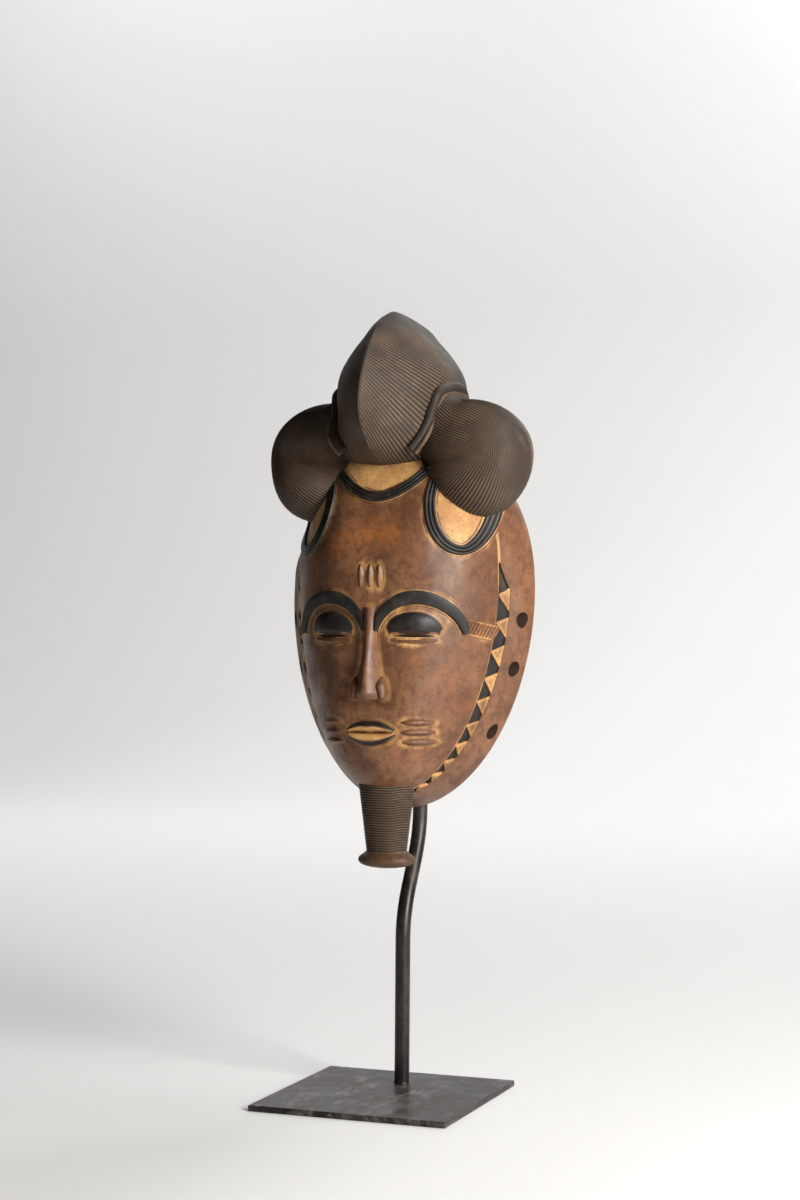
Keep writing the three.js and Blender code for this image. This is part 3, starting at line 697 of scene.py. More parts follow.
def teeth(side):
    """The zigzag band's teeth stand in its sunk ground, their tips toward the face."""
    rng = np.random.default_rng(7 if side > 0 else 8)
    pitch = (BAND_END - BAND_START) / (TOOTH_COUNT + 0.6)
    base = TOOTH_BASE_SHARE
    spots = np.array([
        (-base, 1.06), (base, 1.06), (base * 0.55, 0.6),
        (0.07, 0.1), (-0.07, 0.1), (-base * 0.55, 0.6),
    ])
    centre = spots.mean(axis=0)
    made = []
    for index in range(TOOTH_COUNT):
        middle = -(BAND_START + pitch * (index + 1)) + rng.uniform(-0.05, 0.05) * pitch
        half = pitch * 0.5 * rng.uniform(0.9, 1.05)

        def outline(lift, shrink):
            loop = []
            for along, across in centre + (spots - centre) * shrink:
                angle = middle + half * along
                width = band_width(band_share(angle))
                place = angle if side > 0 else np.pi - angle
                flange = np.linalg.norm(rim_edge(place) - face_edge(place))
                loop.append(on_flange(place, width * across / flange, lift))
            return loop

        heights = ((-BAND_DEPTH - 1, 1.0), (-0.3, 1.0), (0.05, 0.86), (0.5, 0.3))
        loops = [outline(lift, shrink) for lift, shrink in heights]
        ochre = np.array([[0.8], [0.95], [0.85], [0.62]])
        made.append(loft("tooth", loops, {"ochre": ochre}, end=np.mean(outline(0.6, 0.2), axis=0)))
    return merged("teeth", made)


# Tones of the face and flange, by place


def face_tones(x, z):
    """Ochre in the shaved zones and beside the raised work, and the reddish worn patches."""
    ochre = np.zeros_like(x)
    shaved = (np.abs(x) < FRONT_BAND_HALF_SPAN) & (z > front_band_z(x))
    ochre[shaved] = 1.0
    across = np.abs(x) - LOOP_BAND_X
    below = np.minimum(z - HAIRLINE_Z, 0) / LOOP_BAND_DROP
    in_loop = (across / loop_reach(across)) ** 2 + below ** 2 < 1
    in_loop &= z < HAIRLINE_Z + LOOP_ZONE_RISE
    ochre[in_loop] = 1.0
    lines = np.array(feature_lines)
    nearest = np.full(x.shape, 1e9)
    for start in range(0, len(lines), 200):
        part = lines[start:start + 200]
        gap = np.hypot(x[:, None] - part[:, 0], z[:, None] - part[:, 1]) - part[:, 2]
        nearest = np.minimum(nearest, gap.min(axis=1))
    halo = HALO_STRENGTH * np.exp(-(np.maximum(nearest - 0.5, 0) / HALO_REACH) ** 2)
    ochre = np.maximum(ochre, halo)
    red = np.zeros_like(x)
    for at_x, at_z, wide, tall, amount in WORN_PATCHES:
        red += amount * np.exp(-((x - at_x) / wide) ** 2 - ((z - at_z) / tall) ** 2)
    return ochre, np.clip(red, 0, 1)


def head():
    even = full_turn(216)
    start = np.linspace(BAND_START - 0.01, -BAND_START + 0.08, 22)
    around = np.unique(np.concatenate([even, -start % (2 * np.pi), np.pi + start]))
    pole_z = -FACE_DROP * 0.3
    edge = face_edge(around)
    shares = np.concatenate([np.linspace(0.02, 0.9, 62), np.linspace(0.912, 0.992, 9)])
    x = edge[None, :, 0] * shares[:, None]
    z = pole_z + (edge[None, :, 2] - pole_z) * shares[:, None]
    dome = np.stack([x, face_y(x, z), z], -1)
    uneven = 0.22 * waves(dome, 26, 3) + 0.1 * waves(dome, 11, 4)
    dome[..., 1] += uneven * (1 - shares[:, None] ** 6)
    ochre, red = face_tones(x.ravel(), z.ravel())
    ochre = ochre.reshape(x.shape)
    red = red.reshape(x.shape)

    width = band_width(band_share(around))
    flange = np.linalg.norm(rim_edge(around) - edge, axis=1)
    groove = smooth(np.sin(around), -0.02, 0.03) * smooth(0.93 - np.sin(around), 0, 0.1)
    loops = [on_flange(around, 0.0)]
    tones = [(0.9, 0.0, 0.0)]
    inside = width > 0
    # Loops across the sunk band: share of its width, depth, paint. Where the band has ended, they
    # gather beside the face's edge and make a narrow groove beside the forehead: place and height.
    for across, depth, painted, width_outside, lift_outside in (
        (0.05, -1.0, 1.0, 0.35, -0.35),
        (0.35, -1.05, 1.0, 0.8, -0.6),
        (0.7, -1.05, 1.0, 1.3, -0.35),
        (0.98, -1.0, 1.0, 1.8, -0.05),
        (1.06, 0.0, 0.0, 2.3, 0.0),
    ):
        share = np.maximum(width * across, width_outside) / flange
        lift = np.where(inside, depth * BAND_DEPTH, lift_outside * groove)
        loops.append(on_flange(around, share, lift))
        paint = np.where(inside & (width > 0.6), painted, 0.0)
        gold = np.where(inside, (1 - painted) * 0.35, 0.75 * groove * (depth < 0))
        tones.append((gold, paint, 0.0))
    last_share = share
    for step in range(1, 15):
        t = step / 14
        bulge = 1.1 * math.sin(math.pi * min(t * 1.02, 1)) if t < 0.97 else -0.9
        share = last_share + (1 - last_share) * t
        ring = on_flange(around, share, bulge)
        ring[:, 1] += 0.2 * waves(ring, 22, 5) * (t < 0.97)
        loops.append(ring)
        tones.append((0.35 * np.exp(-t * 9), 0.0, 0.25 * (waves(ring, 45, 9) > 0.5)))
    given = {}
    domes = {"ochre": ochre, "paint": 0 * ochre, "red": red}
    for (tone, on_dome), on_loops in zip(domes.items(), zip(*tones)):
        spread = [np.broadcast_to(values, around.shape) for values in on_loops]
        given[tone] = np.vstack([on_dome, *spread])
    rear = np.array([0, rear_at(-RIM_CENTRE_DROP), -RIM_CENTRE_DROP])
    return loft("head", np.concatenate([dome, np.array(loops)]), given, on_face(0.0, pole_z), rear)


# Hair: a keeled crest and two round buns, combed in fine cuts


def crest_along(y):
    """How far a place lies from the crest's middle, as a share of its reach on that side."""
    reach = np.where(y < CREST_CENTRE_Y, CREST_REACH, CREST_REAR_REACH)
    return np.abs(y - CREST_CENTRE_Y) / reach


def crest_share(y, z):
    dz = z - CREST_CENTRE_Z
    power = np.where(dz < 0, CREST_POWER_BELOW, CREST_POWER_ABOVE)
    rise = np.where(dz < 0, CREST_DROP, CREST_RISE)
    return (crest_along(y) ** power + (np.abs(dz) / rise) ** power) ** (1 / power)


def crest_outline(turn):
    """The keel from below its front tip, over the top and back; turn 0 faces forward."""
    reach = np.where(np.cos(turn) > 0, CREST_REACH, CREST_REAR_REACH)
    forward, up = oval(turn, reach, CREST_RISE, CREST_DROP, CREST_POWER_ABOVE, CREST_POWER_BELOW)
    return CREST_CENTRE_Y - forward, CREST_CENTRE_Z + up


def crest_width(y, z):
    """Below its centre the crest stays broad down to a blunt lower edge."""
    down = (CREST_CENTRE_Z - z) / CREST_DROP
    neck = 1 - 0.15 * smooth(0.86 + 1.14 * down, 0, 1) + 0.09 * smooth(2 * down, 0, 1)
    reach = np.where(y < CREST_CENTRE_Y, CREST_REACH, CREST_REAR_REACH)
    left = (1 - np.clip(down, 0, 1) ** CREST_POWER_BELOW) ** (1 / CREST_POWER_BELOW)
    low = np.abs(y - CREST_CENTRE_Y) / np.maximum(reach * left, 1e-6)
    closed = np.where(down > 0, low, crest_share(y, z))
    rounding = 0.15 * smooth(z, CREST_CENTRE_Z + 30, CREST_CENTRE_Z + 58) * smooth(closed, 0.8, 0.97)
    return CREST_HALF_WIDTH * neck * (1 - np.minimum(closed, 1) ** 2) ** (1 - rounding)


def crest_low(y):
    """Height of the crest's lower edge."""
    share = np.minimum(crest_along(y), 1)
    return CREST_CENTRE_Z - CREST_DROP * (1 - share ** CREST_POWER_BELOW) ** (1 / CREST_POWER_BELOW)


def comb_turn(z):
    """Share of the way from the tip's steep combs to the flatter ones of the crown."""
    return smooth(z, CREST_CENTRE_Z - 14, CREST_CENTRE_Z + 50)


def comb_groove(count):
    """How far each row lies down the groove between two combs, COMB_SAMPLES rows to a comb."""
    return 0.5 - 0.5 * np.cos(2 * np.pi * (np.arange(count) % COMB_SAMPLES) / COMB_SAMPLES)


def between(pair, share):
    return pair[0] + (pair[1] - pair[0]) * share


def halved(inside, outside, is_in):
    """The places where a test turns from true to false, by halving the stretch."""
    for _ in range(40):
        middle = (inside + outside) / 2
        held = is_in(middle)
        inside = np.where(held, middle, inside)
        outside = np.where(held, outside, middle)
    return inside


def crest():
    """Combs start at the keel and fall away outward and back, down to the crest's lower edge.

    Each comb is a level line of height + fall x half width + lean x distance back from its start.
    """
    keel_y, keel_z = crest_outline(np.linspace(-1.5, 2.2, 6000))
    lean = between(CREST_COMB_LEAN, comb_turn(keel_z))
    fall = between(CREST_COMB_FALL, comb_turn(keel_z))
    climb = (np.diff(keel_z) + lean[1:] * np.diff(keel_y)) / np.sqrt(1 + fall[1:] ** 2 + lean[1:] ** 2)
    lowest = np.argmax(climb > 0) + 1
    climbed = np.concatenate([[0], np.cumsum(np.maximum(climb[lowest:], 0))])
    rear = rear_at(CREST_RISE + CREST_CENTRE_Z) + 6
    top = climbed[np.argmax(keel_y[lowest:] * (keel_z[lowest:] > CREST_CENTRE_Z) > rear - 2)]
    places = np.arange(0.1, top, CREST_COMB_PITCH / COMB_SAMPLES)
    start_y = np.interp(places, climbed, keel_y[lowest:])[:, None]
    start_z = np.interp(places, climbed, keel_z[lowest:])[:, None]
    lean = between(CREST_COMB_LEAN, comb_turn(start_z))
    fall = between(CREST_COMB_FALL, comb_turn(start_z))

    def above_edge(y):
        return crest_low(y) < start_z - lean * (y - start_y)

    tries = start_y + (rear - start_y) * np.linspace(0, 1, 300)
    room = start_z - lean * (tries - start_y) - crest_low(tries)
    deepest = np.take_along_axis(tries, np.argmax(room, axis=1)[:, None], axis=1)
    finish_y = halved(deepest, np.full_like(deepest, rear), above_edge)
    u = np.linspace(0, 1, 30)
    u = 0.55 * u + 0.45 * u ** 2
    at_y = start_y + (finish_y - start_y) * u
    low = np.minimum(crest_low(at_y), start_z)
    at_z = halved(
        low, np.broadcast_to(start_z, at_y.shape),
        lambda z: z + fall * crest_width(at_y, z) + lean * (at_y - start_y) < start_z,
    )
    at_y = np.concatenate([at_y, at_y[:, -1:]], axis=1)
    at_z = np.concatenate([at_z, at_z[:, -1:]], axis=1)
    groove = comb_groove(len(places))[:, None] * np.ones_like(at_y)
    worn_top = 1 - smooth(at_z, CREST_CENTRE_Z + 44, CREST_CENTRE_Z + 62)
    worn_rear = 1 - smooth(at_y + 0.35 * (at_z - CREST_CENTRE_Z), 28, 50)
    points = np.stack([at_y * 0, at_y, at_z], -1)
    worn = np.clip(worn_top * worn_rear + 0.15 * waves(points, 18, 21), 0.06, 1)
    half = np.maximum(crest_width(at_y, at_z) - COMB_DEPTH * groove * worn, 0)
    half[:, [0, -1]] = 0
    right = np.stack([half, at_y, at_z], -1)
    left = right[:, -2:0:-1] * [-1, 1, 1]

    def spread(values):
        return np.concatenate([values, values[:, -2:0:-1]], axis=1)

    ridge = np.where(worn > 0.2, (1 - groove) ** 1.6 * (0.35 + 0.65 * worn), 0.2)
    loops = np.concatenate([right, left], axis=1)
    return loft("crest", loops, {"hair": 1.0, "ridge": spread(ridge)})


def keel():
    """A thin bead runs up the crest's front edge."""
    turn = np.linspace(-1.0, 1.12, 110)
    y, z = crest_outline(turn)
    centre = np.stack([0 * y, y, z], -1)
    radius = KEEL_BEAD_RADIUS * np.sin(np.linspace(0.12, np.pi - 0.03, len(turn))) ** 0.5
    return tube("keel", centre, radius, 10, {"hair": 1.0, "ridge": 0.12})


def lobe(side):
    """Each bun swells up to the crest, and is pinched in where its combing starts at the forehead."""
    root = LOBE_COMB_ROOT / np.linalg.norm(LOBE_COMB_ROOT)
    outward = np.array([1.0, 0, 0]) - root * root[0]
    outward /= np.linalg.norm(outward)
    upward = np.cross(outward, root)
    if upward[2] < 0:
        upward = -upward
    tilt = math.radians(LOBE_COMB_TILT)
    outward, upward = (
        outward * math.cos(tilt) + upward * math.sin(tilt),
        upward * math.cos(tilt) - outward * math.sin(tilt),
    )
    turn = full_turn(72)
    combed_rows = LOBE_COMBS * COMB_SAMPLES
    rows = LOBE_COMBED_TURN * (np.arange(1, combed_rows + 1) / combed_rows) ** 0.85
    rows = np.concatenate([rows, np.linspace(LOBE_COMBED_TURN + 0.06, 2.95, 9)])
    groove = np.where(rows <= LOBE_COMBED_TURN, comb_groove(len(rows)), 0.0)[:, None]
    power = 1.06 + 0.94 * smooth(rows, 0.75, 2.1)[:, None]
    c = np.cos(turn)[None, :]
    s = np.sin(turn)[None, :]
    narrow = 0.25 + 0.75 * smooth(rows, 0.5, 2.5)[:, None]
    angle = rows[:, None] / (np.abs(c) ** power + np.abs(s / narrow) ** power) ** (1 / power)
    direction = (
        root * np.cos(angle)[..., None]
        + outward * (c * np.sin(angle))[..., None]
        + upward * (s * np.sin(angle))[..., None]
    )
    shoulder = LOBE_SHOULDER * np.maximum(-direction[..., 0], 0) ** 1.5
    upright = np.where(direction[..., 2] > 0, LOBE_RISE + shoulder, LOBE_DROP)
    reach = np.stack([
        np.full_like(upright, LOBE_HALF_WIDTH), np.full_like(upright, LOBE_HALF_DEPTH), upright,
    ], -1)
    corner = np.maximum(direction @ LOBE_CORNER, 0)
    reach *= (1 - LOBE_PINCH * np.maximum(direction @ root, 0) ** 10 + 0.13 * corner ** 7)[..., None]
    worn_side = 1 - 0.55 * smooth(direction[..., 0], 0.45, 0.95)
    worn = np.clip(worn_side + 0.12 * waves(direction * 40, 20, 31), 0.1, 1)
    reach = reach - (COMB_DEPTH * groove * worn)[..., None]
    points = direction * reach + LOBE_CENTRE
    points[..., 0] *= side
    ridge = (1 - groove) ** 2 * (0.3 + 0.7 * worn)
    return loft("lobe", points, {"hair": 1.0, "ridge": ridge})


def curve_through(points, count):
    """Points along a smooth curve through the given ones."""
    points = np.asarray(points, float)
    padded = np.vstack([2 * points[0] - points[1], points, 2 * points[-1] - points[-2]])
    made = []
    for place in np.linspace(0, len(points) - 1, count):
        i = min(int(place), len(points) - 2)
        t = place - i
        a, b, c, d = padded[i:i + 4]
        made.append(0.5 * (
            2 * b + (c - a) * t + (2 * a - 5 * b + 4 * c - d) * t * t + (3 * b - a - 3 * c + d) * t ** 3
        ))
    return np.array(made)


def roll(side):
    """A smooth flat roll lies in the fold between the crest and each bun."""
    line = curve_through((LOBE_CENTRE + ROLL_PLACES) * [side, 1, 1], 72)
    taper = np.sin(np.linspace(0.9, np.pi - 0.35, 72)) ** 0.5
    return tube("roll", line, ROLL_RADIUS * taper, 20, {"hair": 1.0, "ridge": 0.22})


def roll_strip(side):
    """A thin bead runs beside the roll, on the bun's side."""
    line = curve_through((LOBE_CENTRE + ROLL_PLACES + ROLL_STRIP_SHIFT) * [side, 1, 1], 72)
    return tube("roll_strip", line, ROLL_STRIP_RADIUS, 10, {"hair": 1.0, "ridge": 0.75})


# The beard hangs from under the chin, cut in rings, and ends in a flared disc


def beard():
    turn = full_turn(56)
    hidden = 12.0
    above = 9.0
    rows = BEARD_RINGS * COMB_SAMPLES
    u = np.linspace(-above / BEARD_LENGTH, 1, rows + 1)
    groove = comb_groove(rows + 1)
    widths = BEARD_TOP_WIDTH + (BEARD_END_WIDTH - BEARD_TOP_WIDTH) * u - 2.3 * COMB_DEPTH * groove
    heights = CHIN_Z - BEARD_LENGTH * u
    disc_top = CHIN_Z - BEARD_LENGTH
    disc = [[0.08, 0.76], [0.2, 0.86], [0.32, 0.955], [0.45, 1], [0.55, 1.0], [0.65, 0.98], [0.76, 0.91],
            [0.85, 0.8], [0.92, 0.64], [0.97, 0.45], [0.992, 0.25]]
    disc_drop, disc_width = np.array(disc).T
    widths = np.concatenate([[widths[0]], widths, BEARD_DISC_WIDTH * disc_width])
    heights = np.concatenate([[CHIN_Z + hidden], heights, disc_top - BEARD_DISC_HEIGHT * disc_drop])
    x = widths[:, None] / 2 * np.cos(turn)
    y = BEARD_Y + widths[:, None] * BEARD_FLATNESS / 2 * np.sin(turn)
    z = heights[:, None] + 0 * turn
    points = np.stack([x, y, z], -1)
    from_seam = turn - BEARD_SEAM_TURN
    seam = np.exp(-(((from_seam + np.pi) % (2 * np.pi) - np.pi) / 0.09) ** 2)
    in_rings = ((heights > disc_top) & (heights < CHIN_Z + above))[:, None]
    points[..., :2] *= (1 - 0.02 * seam * in_rings)[..., None]
    points[..., 2] += 0.45 * in_rings * np.tanh(8 * np.sin(from_seam)) * np.cos(from_seam / 2) ** 8
    ridge = np.concatenate([[0.2], (1 - groove) ** 1.5, np.full(len(disc), 0.2)])[:, None]
    hair = np.concatenate([np.ones(rows + 2), np.full(len(disc), 0.6)])[:, None]
    end = [0, BEARD_Y, disc_top - BEARD_DISC_HEIGHT]
    return loft("beard", points, {"hair": hair, "ridge": ridge}, end=end)


# Cuts: the hollow with its adze marks, the rear plane, the eye slits and the holes in the flange


def hollow():
    around = full_turn(120)
    shares = np.concatenate([np.linspace(0.05, 0.9, 26), [0.94, 0.97, 1.0]])
    rim = rim_edge(around, WALL)
    x = rim[None, :, 0] * shares[:, None]
    z = -RIM_CENTRE_DROP + (rim[None, :, 2] + RIM_CENTRE_DROP) * shares[:, None]
    depth = rear_at(0) - FACE_FRONT_Y - WALL
    fullness = 3.4 + 1.8 * np.abs(np.sin(around))[None, :] ** 2
    y = rear_at(z) - depth * (1 - shares[:, None] ** fullness)
    points = np.stack([x, y, z], -1)
    scoops = np.abs(waves(points, 17, 12)) * 0.55 + np.abs(waves(points, 9, 13)) * 0.25
    points[..., 1] += scoops * (1 - shares[:, None] ** 8)
    behind = []
    for back, widen in ((0.0, 0.0), (1.8, 1.0), (7.8, 1.2)):
        ring = points[-1].copy()
        ring[:, 1] += back
        ring[:, 0] *= 1 + widen / RIM_HALF_WIDTH
        ring[:, 2] = -RIM_CENTRE_DROP + (ring[:, 2] + RIM_CENTRE_DROP) * (1 + widen / RIM_DROP)
        behind.append(ring)
    loops = np.concatenate([points[:-1], np.array(behind)])
    deepest = [0, rear_at(-RIM_CENTRE_DROP) - depth + 0.3, -RIM_CENTRE_DROP]
    return loft("hollow", loops, {"bare": 1.0}, start=deepest)


def rear_cut():
    reach = 4 * RIM_DROP * MM
    bpy.ops.mesh.primitive_cube_add(size=reach)
    lean = math.atan(REAR_LEAN)
    back = REAR_Y * MM + reach / 2 * math.cos(lean)
    block = settled(
        "rear_cut", (0, back, FACE_CENTRE_Z * MM - reach / 2 * math.sin(lean)), (-lean, 0, 0),
    )
    add_tones(block.data, {"bare": 1.0})
    return block


def eye_slit(side):
    half = EYE_WIDTH * 0.46
    u = np.linspace(0, 1, 25)
    rise = SLIT_HEIGHT / 2 * (0.1 + 0.9 * np.sin(np.pi * u))
    x = EYE_X + half * (2 * u - 1)
    outline_x = np.concatenate([x, x[-2:0:-1]]) * side
    outline_z = EYE_Z + np.concatenate([rise, -rise[-2:0:-1]])
    lid_y = face_y(outline_x, EYE_Z + 0 * outline_x)
    loops = [
        np.stack([outline_x, np.full_like(outline_x, y), outline_z - SLIT_FALL * (y - lid_y)], -1)
        for y in (2 * FACE_FRONT_Y, REAR_Y)
    ]
    # The slit's walls carry the paint tone, which darkens them: painted shade inside the slit.
    return loft("eye_slit", loops, {"bare": 1.0, "paint": 1.0})


def rim_holes(side):
    """Worn holes, drilled straight in from the side."""
    made = []
    turn = full_turn(32)
    for index, (below, share) in enumerate(RIM_HOLE_PLACES):
        angle = -below if side > 0 else np.pi + below
        x, y, z = on_flange(angle, share)
        worn = 1 + 0.05 * np.sin(2 * turn + index) + 0.04 * np.sin(3 * turn + 2 * index)
        ends = np.linspace(x + side * 2 * WALL, x - side * 3 * WALL, 8)
        loops = [
            np.stack([
                np.full_like(turn, end), y + RIM_HOLE_WIDTH / 2 * worn * np.cos(turn),
                z + RIM_HOLE_HEIGHT / 2 * worn * np.sin(turn),
            ], -1)
            for end in ends
        ]
        # The hole's walls carry the paint tone, which darkens them: painted shade inside the hole.
        made.append(loft("hole", loops, {"bare": 1.0, "paint": 1.0}))
    return merged("rim_holes", made)


def largest_part(body):
    """The solid without the slivers that the cuts leave loose."""
    only(body)
    bpy.ops.mesh.separate(type="LOOSE")
    parts = sorted(bpy.context.selected_objects, key=lambda part: len(part.data.polygons))
    for sliver in parts[:-1]:
        bpy.data.objects.remove(sliver, do_unlink=True)
    return parts[-1]


def carve_mask():
    pieces = [both_sides(make) for make in (brow, lid, lower_lid, loop_band, cord)]
    pieces += nose() + lips() + [marks(), front_band(), both_sides(teeth), chin()]
    pieces += [both_sides(lobe), both_sides(roll), both_sides(roll_strip), crest(), keel(), beard()]
    body = head()
    for piece in pieces:
        apply_boolean(body, piece, "UNION")
    for cut in (hollow(), both_sides(eye_slit), both_sides(rim_holes), rear_cut()):
        apply_boolean(body, cut, "DIFFERENCE")
    body = largest_part(body)
    body.name = "carved_mask"
    return body


def finish_mesh(piece, degrees):
    """Smooth shading that keeps carved edges crisp and lets large faces rule the small ones."""
    only(piece)
    bpy.ops.object.shade_smooth_by_angle(angle=math.radians(degrees))
    weigh = piece.modifiers.new("weigh", "WEIGHTED_NORMAL")
    weigh.keep_sharp = True
    bpy.ops.object.modifier_apply(modifier=weigh.name)


mask = carve_mask()
finish_mesh(mask, 40)

# The stand: a bent round bar on a square plate with rounded edges

PLATE_SIDE = 135.0
PLATE_THICKNESS = 4.0
PLATE_EDGE_RADIUS = 1.1
ROD_DIAMETER = 10.0
ROD_FOOT_Y = 31.4
ROD_BACK_Y = 66.0
ROD_STRAIGHT_RISE = 94.0
ROD_BEND_RISE = 88.0
ROD_BEND_PULL = 0.42
ROD_UPRIGHT_SHARE = 0.35
ROD_TIP_PULL = 0.4
ROD_LEAN = 2.0
ROD_TIP_Y = 24.0
REST_GAP = 0.3


def bezier(a, b, c, d, count):
    t = np.linspace(0, 1, count + 1)[1:, None]
    a, b, c, d = (np.array(p, float) for p in (a, b, c, d))
    return (1 - t) ** 3 * a + 3 * (1 - t) ** 2 * t * b + 3 * (1 - t) * t * t * c + t ** 3 * d


def rod():
    rod_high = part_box("stand_rod")[1]
    base = PLATE_THICKNESS
    bend_start = PLATE_THICKNESS + REST_GAP + ROD_STRAIGHT_RISE
    bend_end = bend_start + ROD_BEND_RISE
    pull = ROD_BEND_RISE * ROD_BEND_PULL
    radius = ROD_DIAMETER / 2
    tip_z = rod_high[2] / MM - radius
    climb = bend_end + (tip_z - bend_end) * ROD_UPRIGHT_SHARE
    lean_pull = (tip_z - climb) * ROD_TIP_PULL
    foot = np.array([0, ROD_FOOT_Y, base])
    knee = np.array([0, ROD_FOOT_Y + ROD_LEAN, bend_start])
    rise = np.array([
        base, base + 0.35, base + 0.8, base + 1.6, *np.linspace(base + 8, bend_start, 10),
    ])
    share = (rise - base) / (bend_start - base)
    straight = foot + (knee - foot) * share[:, None]
    bend = bezier(
        knee, (0, knee[1], bend_start + pull), (0, ROD_BACK_Y, bend_end - pull),
        (0, ROD_BACK_Y, bend_end), 36,
    )
    back = np.linspace((0, ROD_BACK_Y, bend_end), (0, ROD_BACK_Y, climb), 7)[1:]
    top = bezier(
        (0, ROD_BACK_Y, climb), (0, ROD_BACK_Y, climb + lean_pull), (0, ROD_TIP_Y, tip_z - lean_pull),
        (0, ROD_TIP_Y, tip_z), 36,
    )
    angles = np.linspace(0, 1.5, 9)[1:]
    dome = np.array([[0, ROD_TIP_Y, tip_z + radius * math.sin(a)] for a in angles])
    line = np.vstack([straight, bend, back, top, dome])
    weld = radius + np.array([0.55, 0.28, 0.12, 0.02])
    even = np.full(len(line) - len(weld) - len(angles), radius)
    radii = np.concatenate([weld, even, radius * np.cos(angles)])
    piece = tube("bent_rod", line, radii, 40, {}, raised=0.0)
    finish_mesh(piece, 50)
    return piece


def plate():
    bpy.ops.mesh.primitive_cube_add(size=1)
    sides = (PLATE_SIDE * MM, PLATE_SIDE * MM, PLATE_THICKNESS * MM)
    piece = settled("foot_plate", (0, 0, PLATE_THICKNESS * MM / 2), scale=sides)
    corners = piece.modifiers.new("corners", "BEVEL")
    corners.width = PLATE_EDGE_RADIUS * MM
    corners.segments = 5
    corners.limit_method = "ANGLE"
    bpy.ops.object.modifier_apply(modifier=corners.name)
    finish_mesh(piece, 50)
    return piece


bent_rod = rod()
foot_plate = plate()

# Materials


class Shader:
    """Short names for the nodes of one material."""

    def __init__(self, name):
        self.material = bpy.data.materials.new(name)
        self.material.use_nodes = True
        self.nodes = self.material.node_tree.nodes
        self.links = self.material.node_tree.links
        self.surface = self.nodes["Principled BSDF"]
        self.place = self.nodes.new("ShaderNodeTexCoord").outputs["Object"]

    def set(self, node, inputs):
        """Inputs of a node take values, or links from outputs of other nodes."""
        for name, value in inputs.items():
            if isinstance(value, bpy.types.NodeSocket):
                self.links.new(value, node.inputs[name])
            else:
                node.inputs[name].default_value = value

    def outputs(self, kind, inputs, **settings):
        """The outputs of a new node."""
        node = self.nodes.new(kind)
        for name, value in settings.items():
            setattr(node, name, value)
        self.set(node, inputs)
        return node.outputs

    def tone(self, name):
        return self.outputs("ShaderNodeAttribute", {}, attribute_name=name)["Fac"]

    def stretched(self, scale):
        return self.outputs("ShaderNodeMapping", {"Vector": self.place, "Scale": scale})["Vector"]

    def noise(self, scale, detail, roughness, vector=None, distortion=0.0):
        return self.outputs("ShaderNodeTexNoise", {
            "Vector": vector or self.place, "Scale": scale, "Detail": detail,
            "Roughness": roughness, "Distortion": distortion,
        })["Fac"]

    def maths(self, operation, first, second, clamp=False):
        inputs = {0: first, 1: second}
        return self.outputs("ShaderNodeMath", inputs, operation=operation, use_clamp=clamp)[0]

    def spread(self, value, start, end, low=0.0, high=1.0):
        return self.outputs("ShaderNodeMapRange", {
            "Value": value, "From Min": start, "From Max": end, "To Min": low, "To Max": high,
        }, interpolation_type="SMOOTHSTEP")["Result"]

    def mix(self, share, *colours):
        first, second = (
            colour if isinstance(colour, bpy.types.NodeSocket) else (*colour, 1) for colour in colours
        )
        inputs = {"Factor": share, 6: first, 7: second}
        return self.outputs("ShaderNodeMix", inputs, data_type="RGBA")[2]

    def bump(self, height, depth_mm, strength, below=None):
        inputs = {"Strength": strength, "Distance": depth_mm * MM, "Height": height}
        if below:
            inputs["Normal"] = below
        return self.outputs("ShaderNodeBump", inputs)["Normal"]

    def dress(self, colour, roughness, normal, metallic=0.0, specular=0.5):
        self.set(self.surface, {
            "Base Color": colour, "Roughness": roughness, "Normal": normal,
            "Metallic": metallic, "Specular IOR Level": specular,
        })
        return self.material


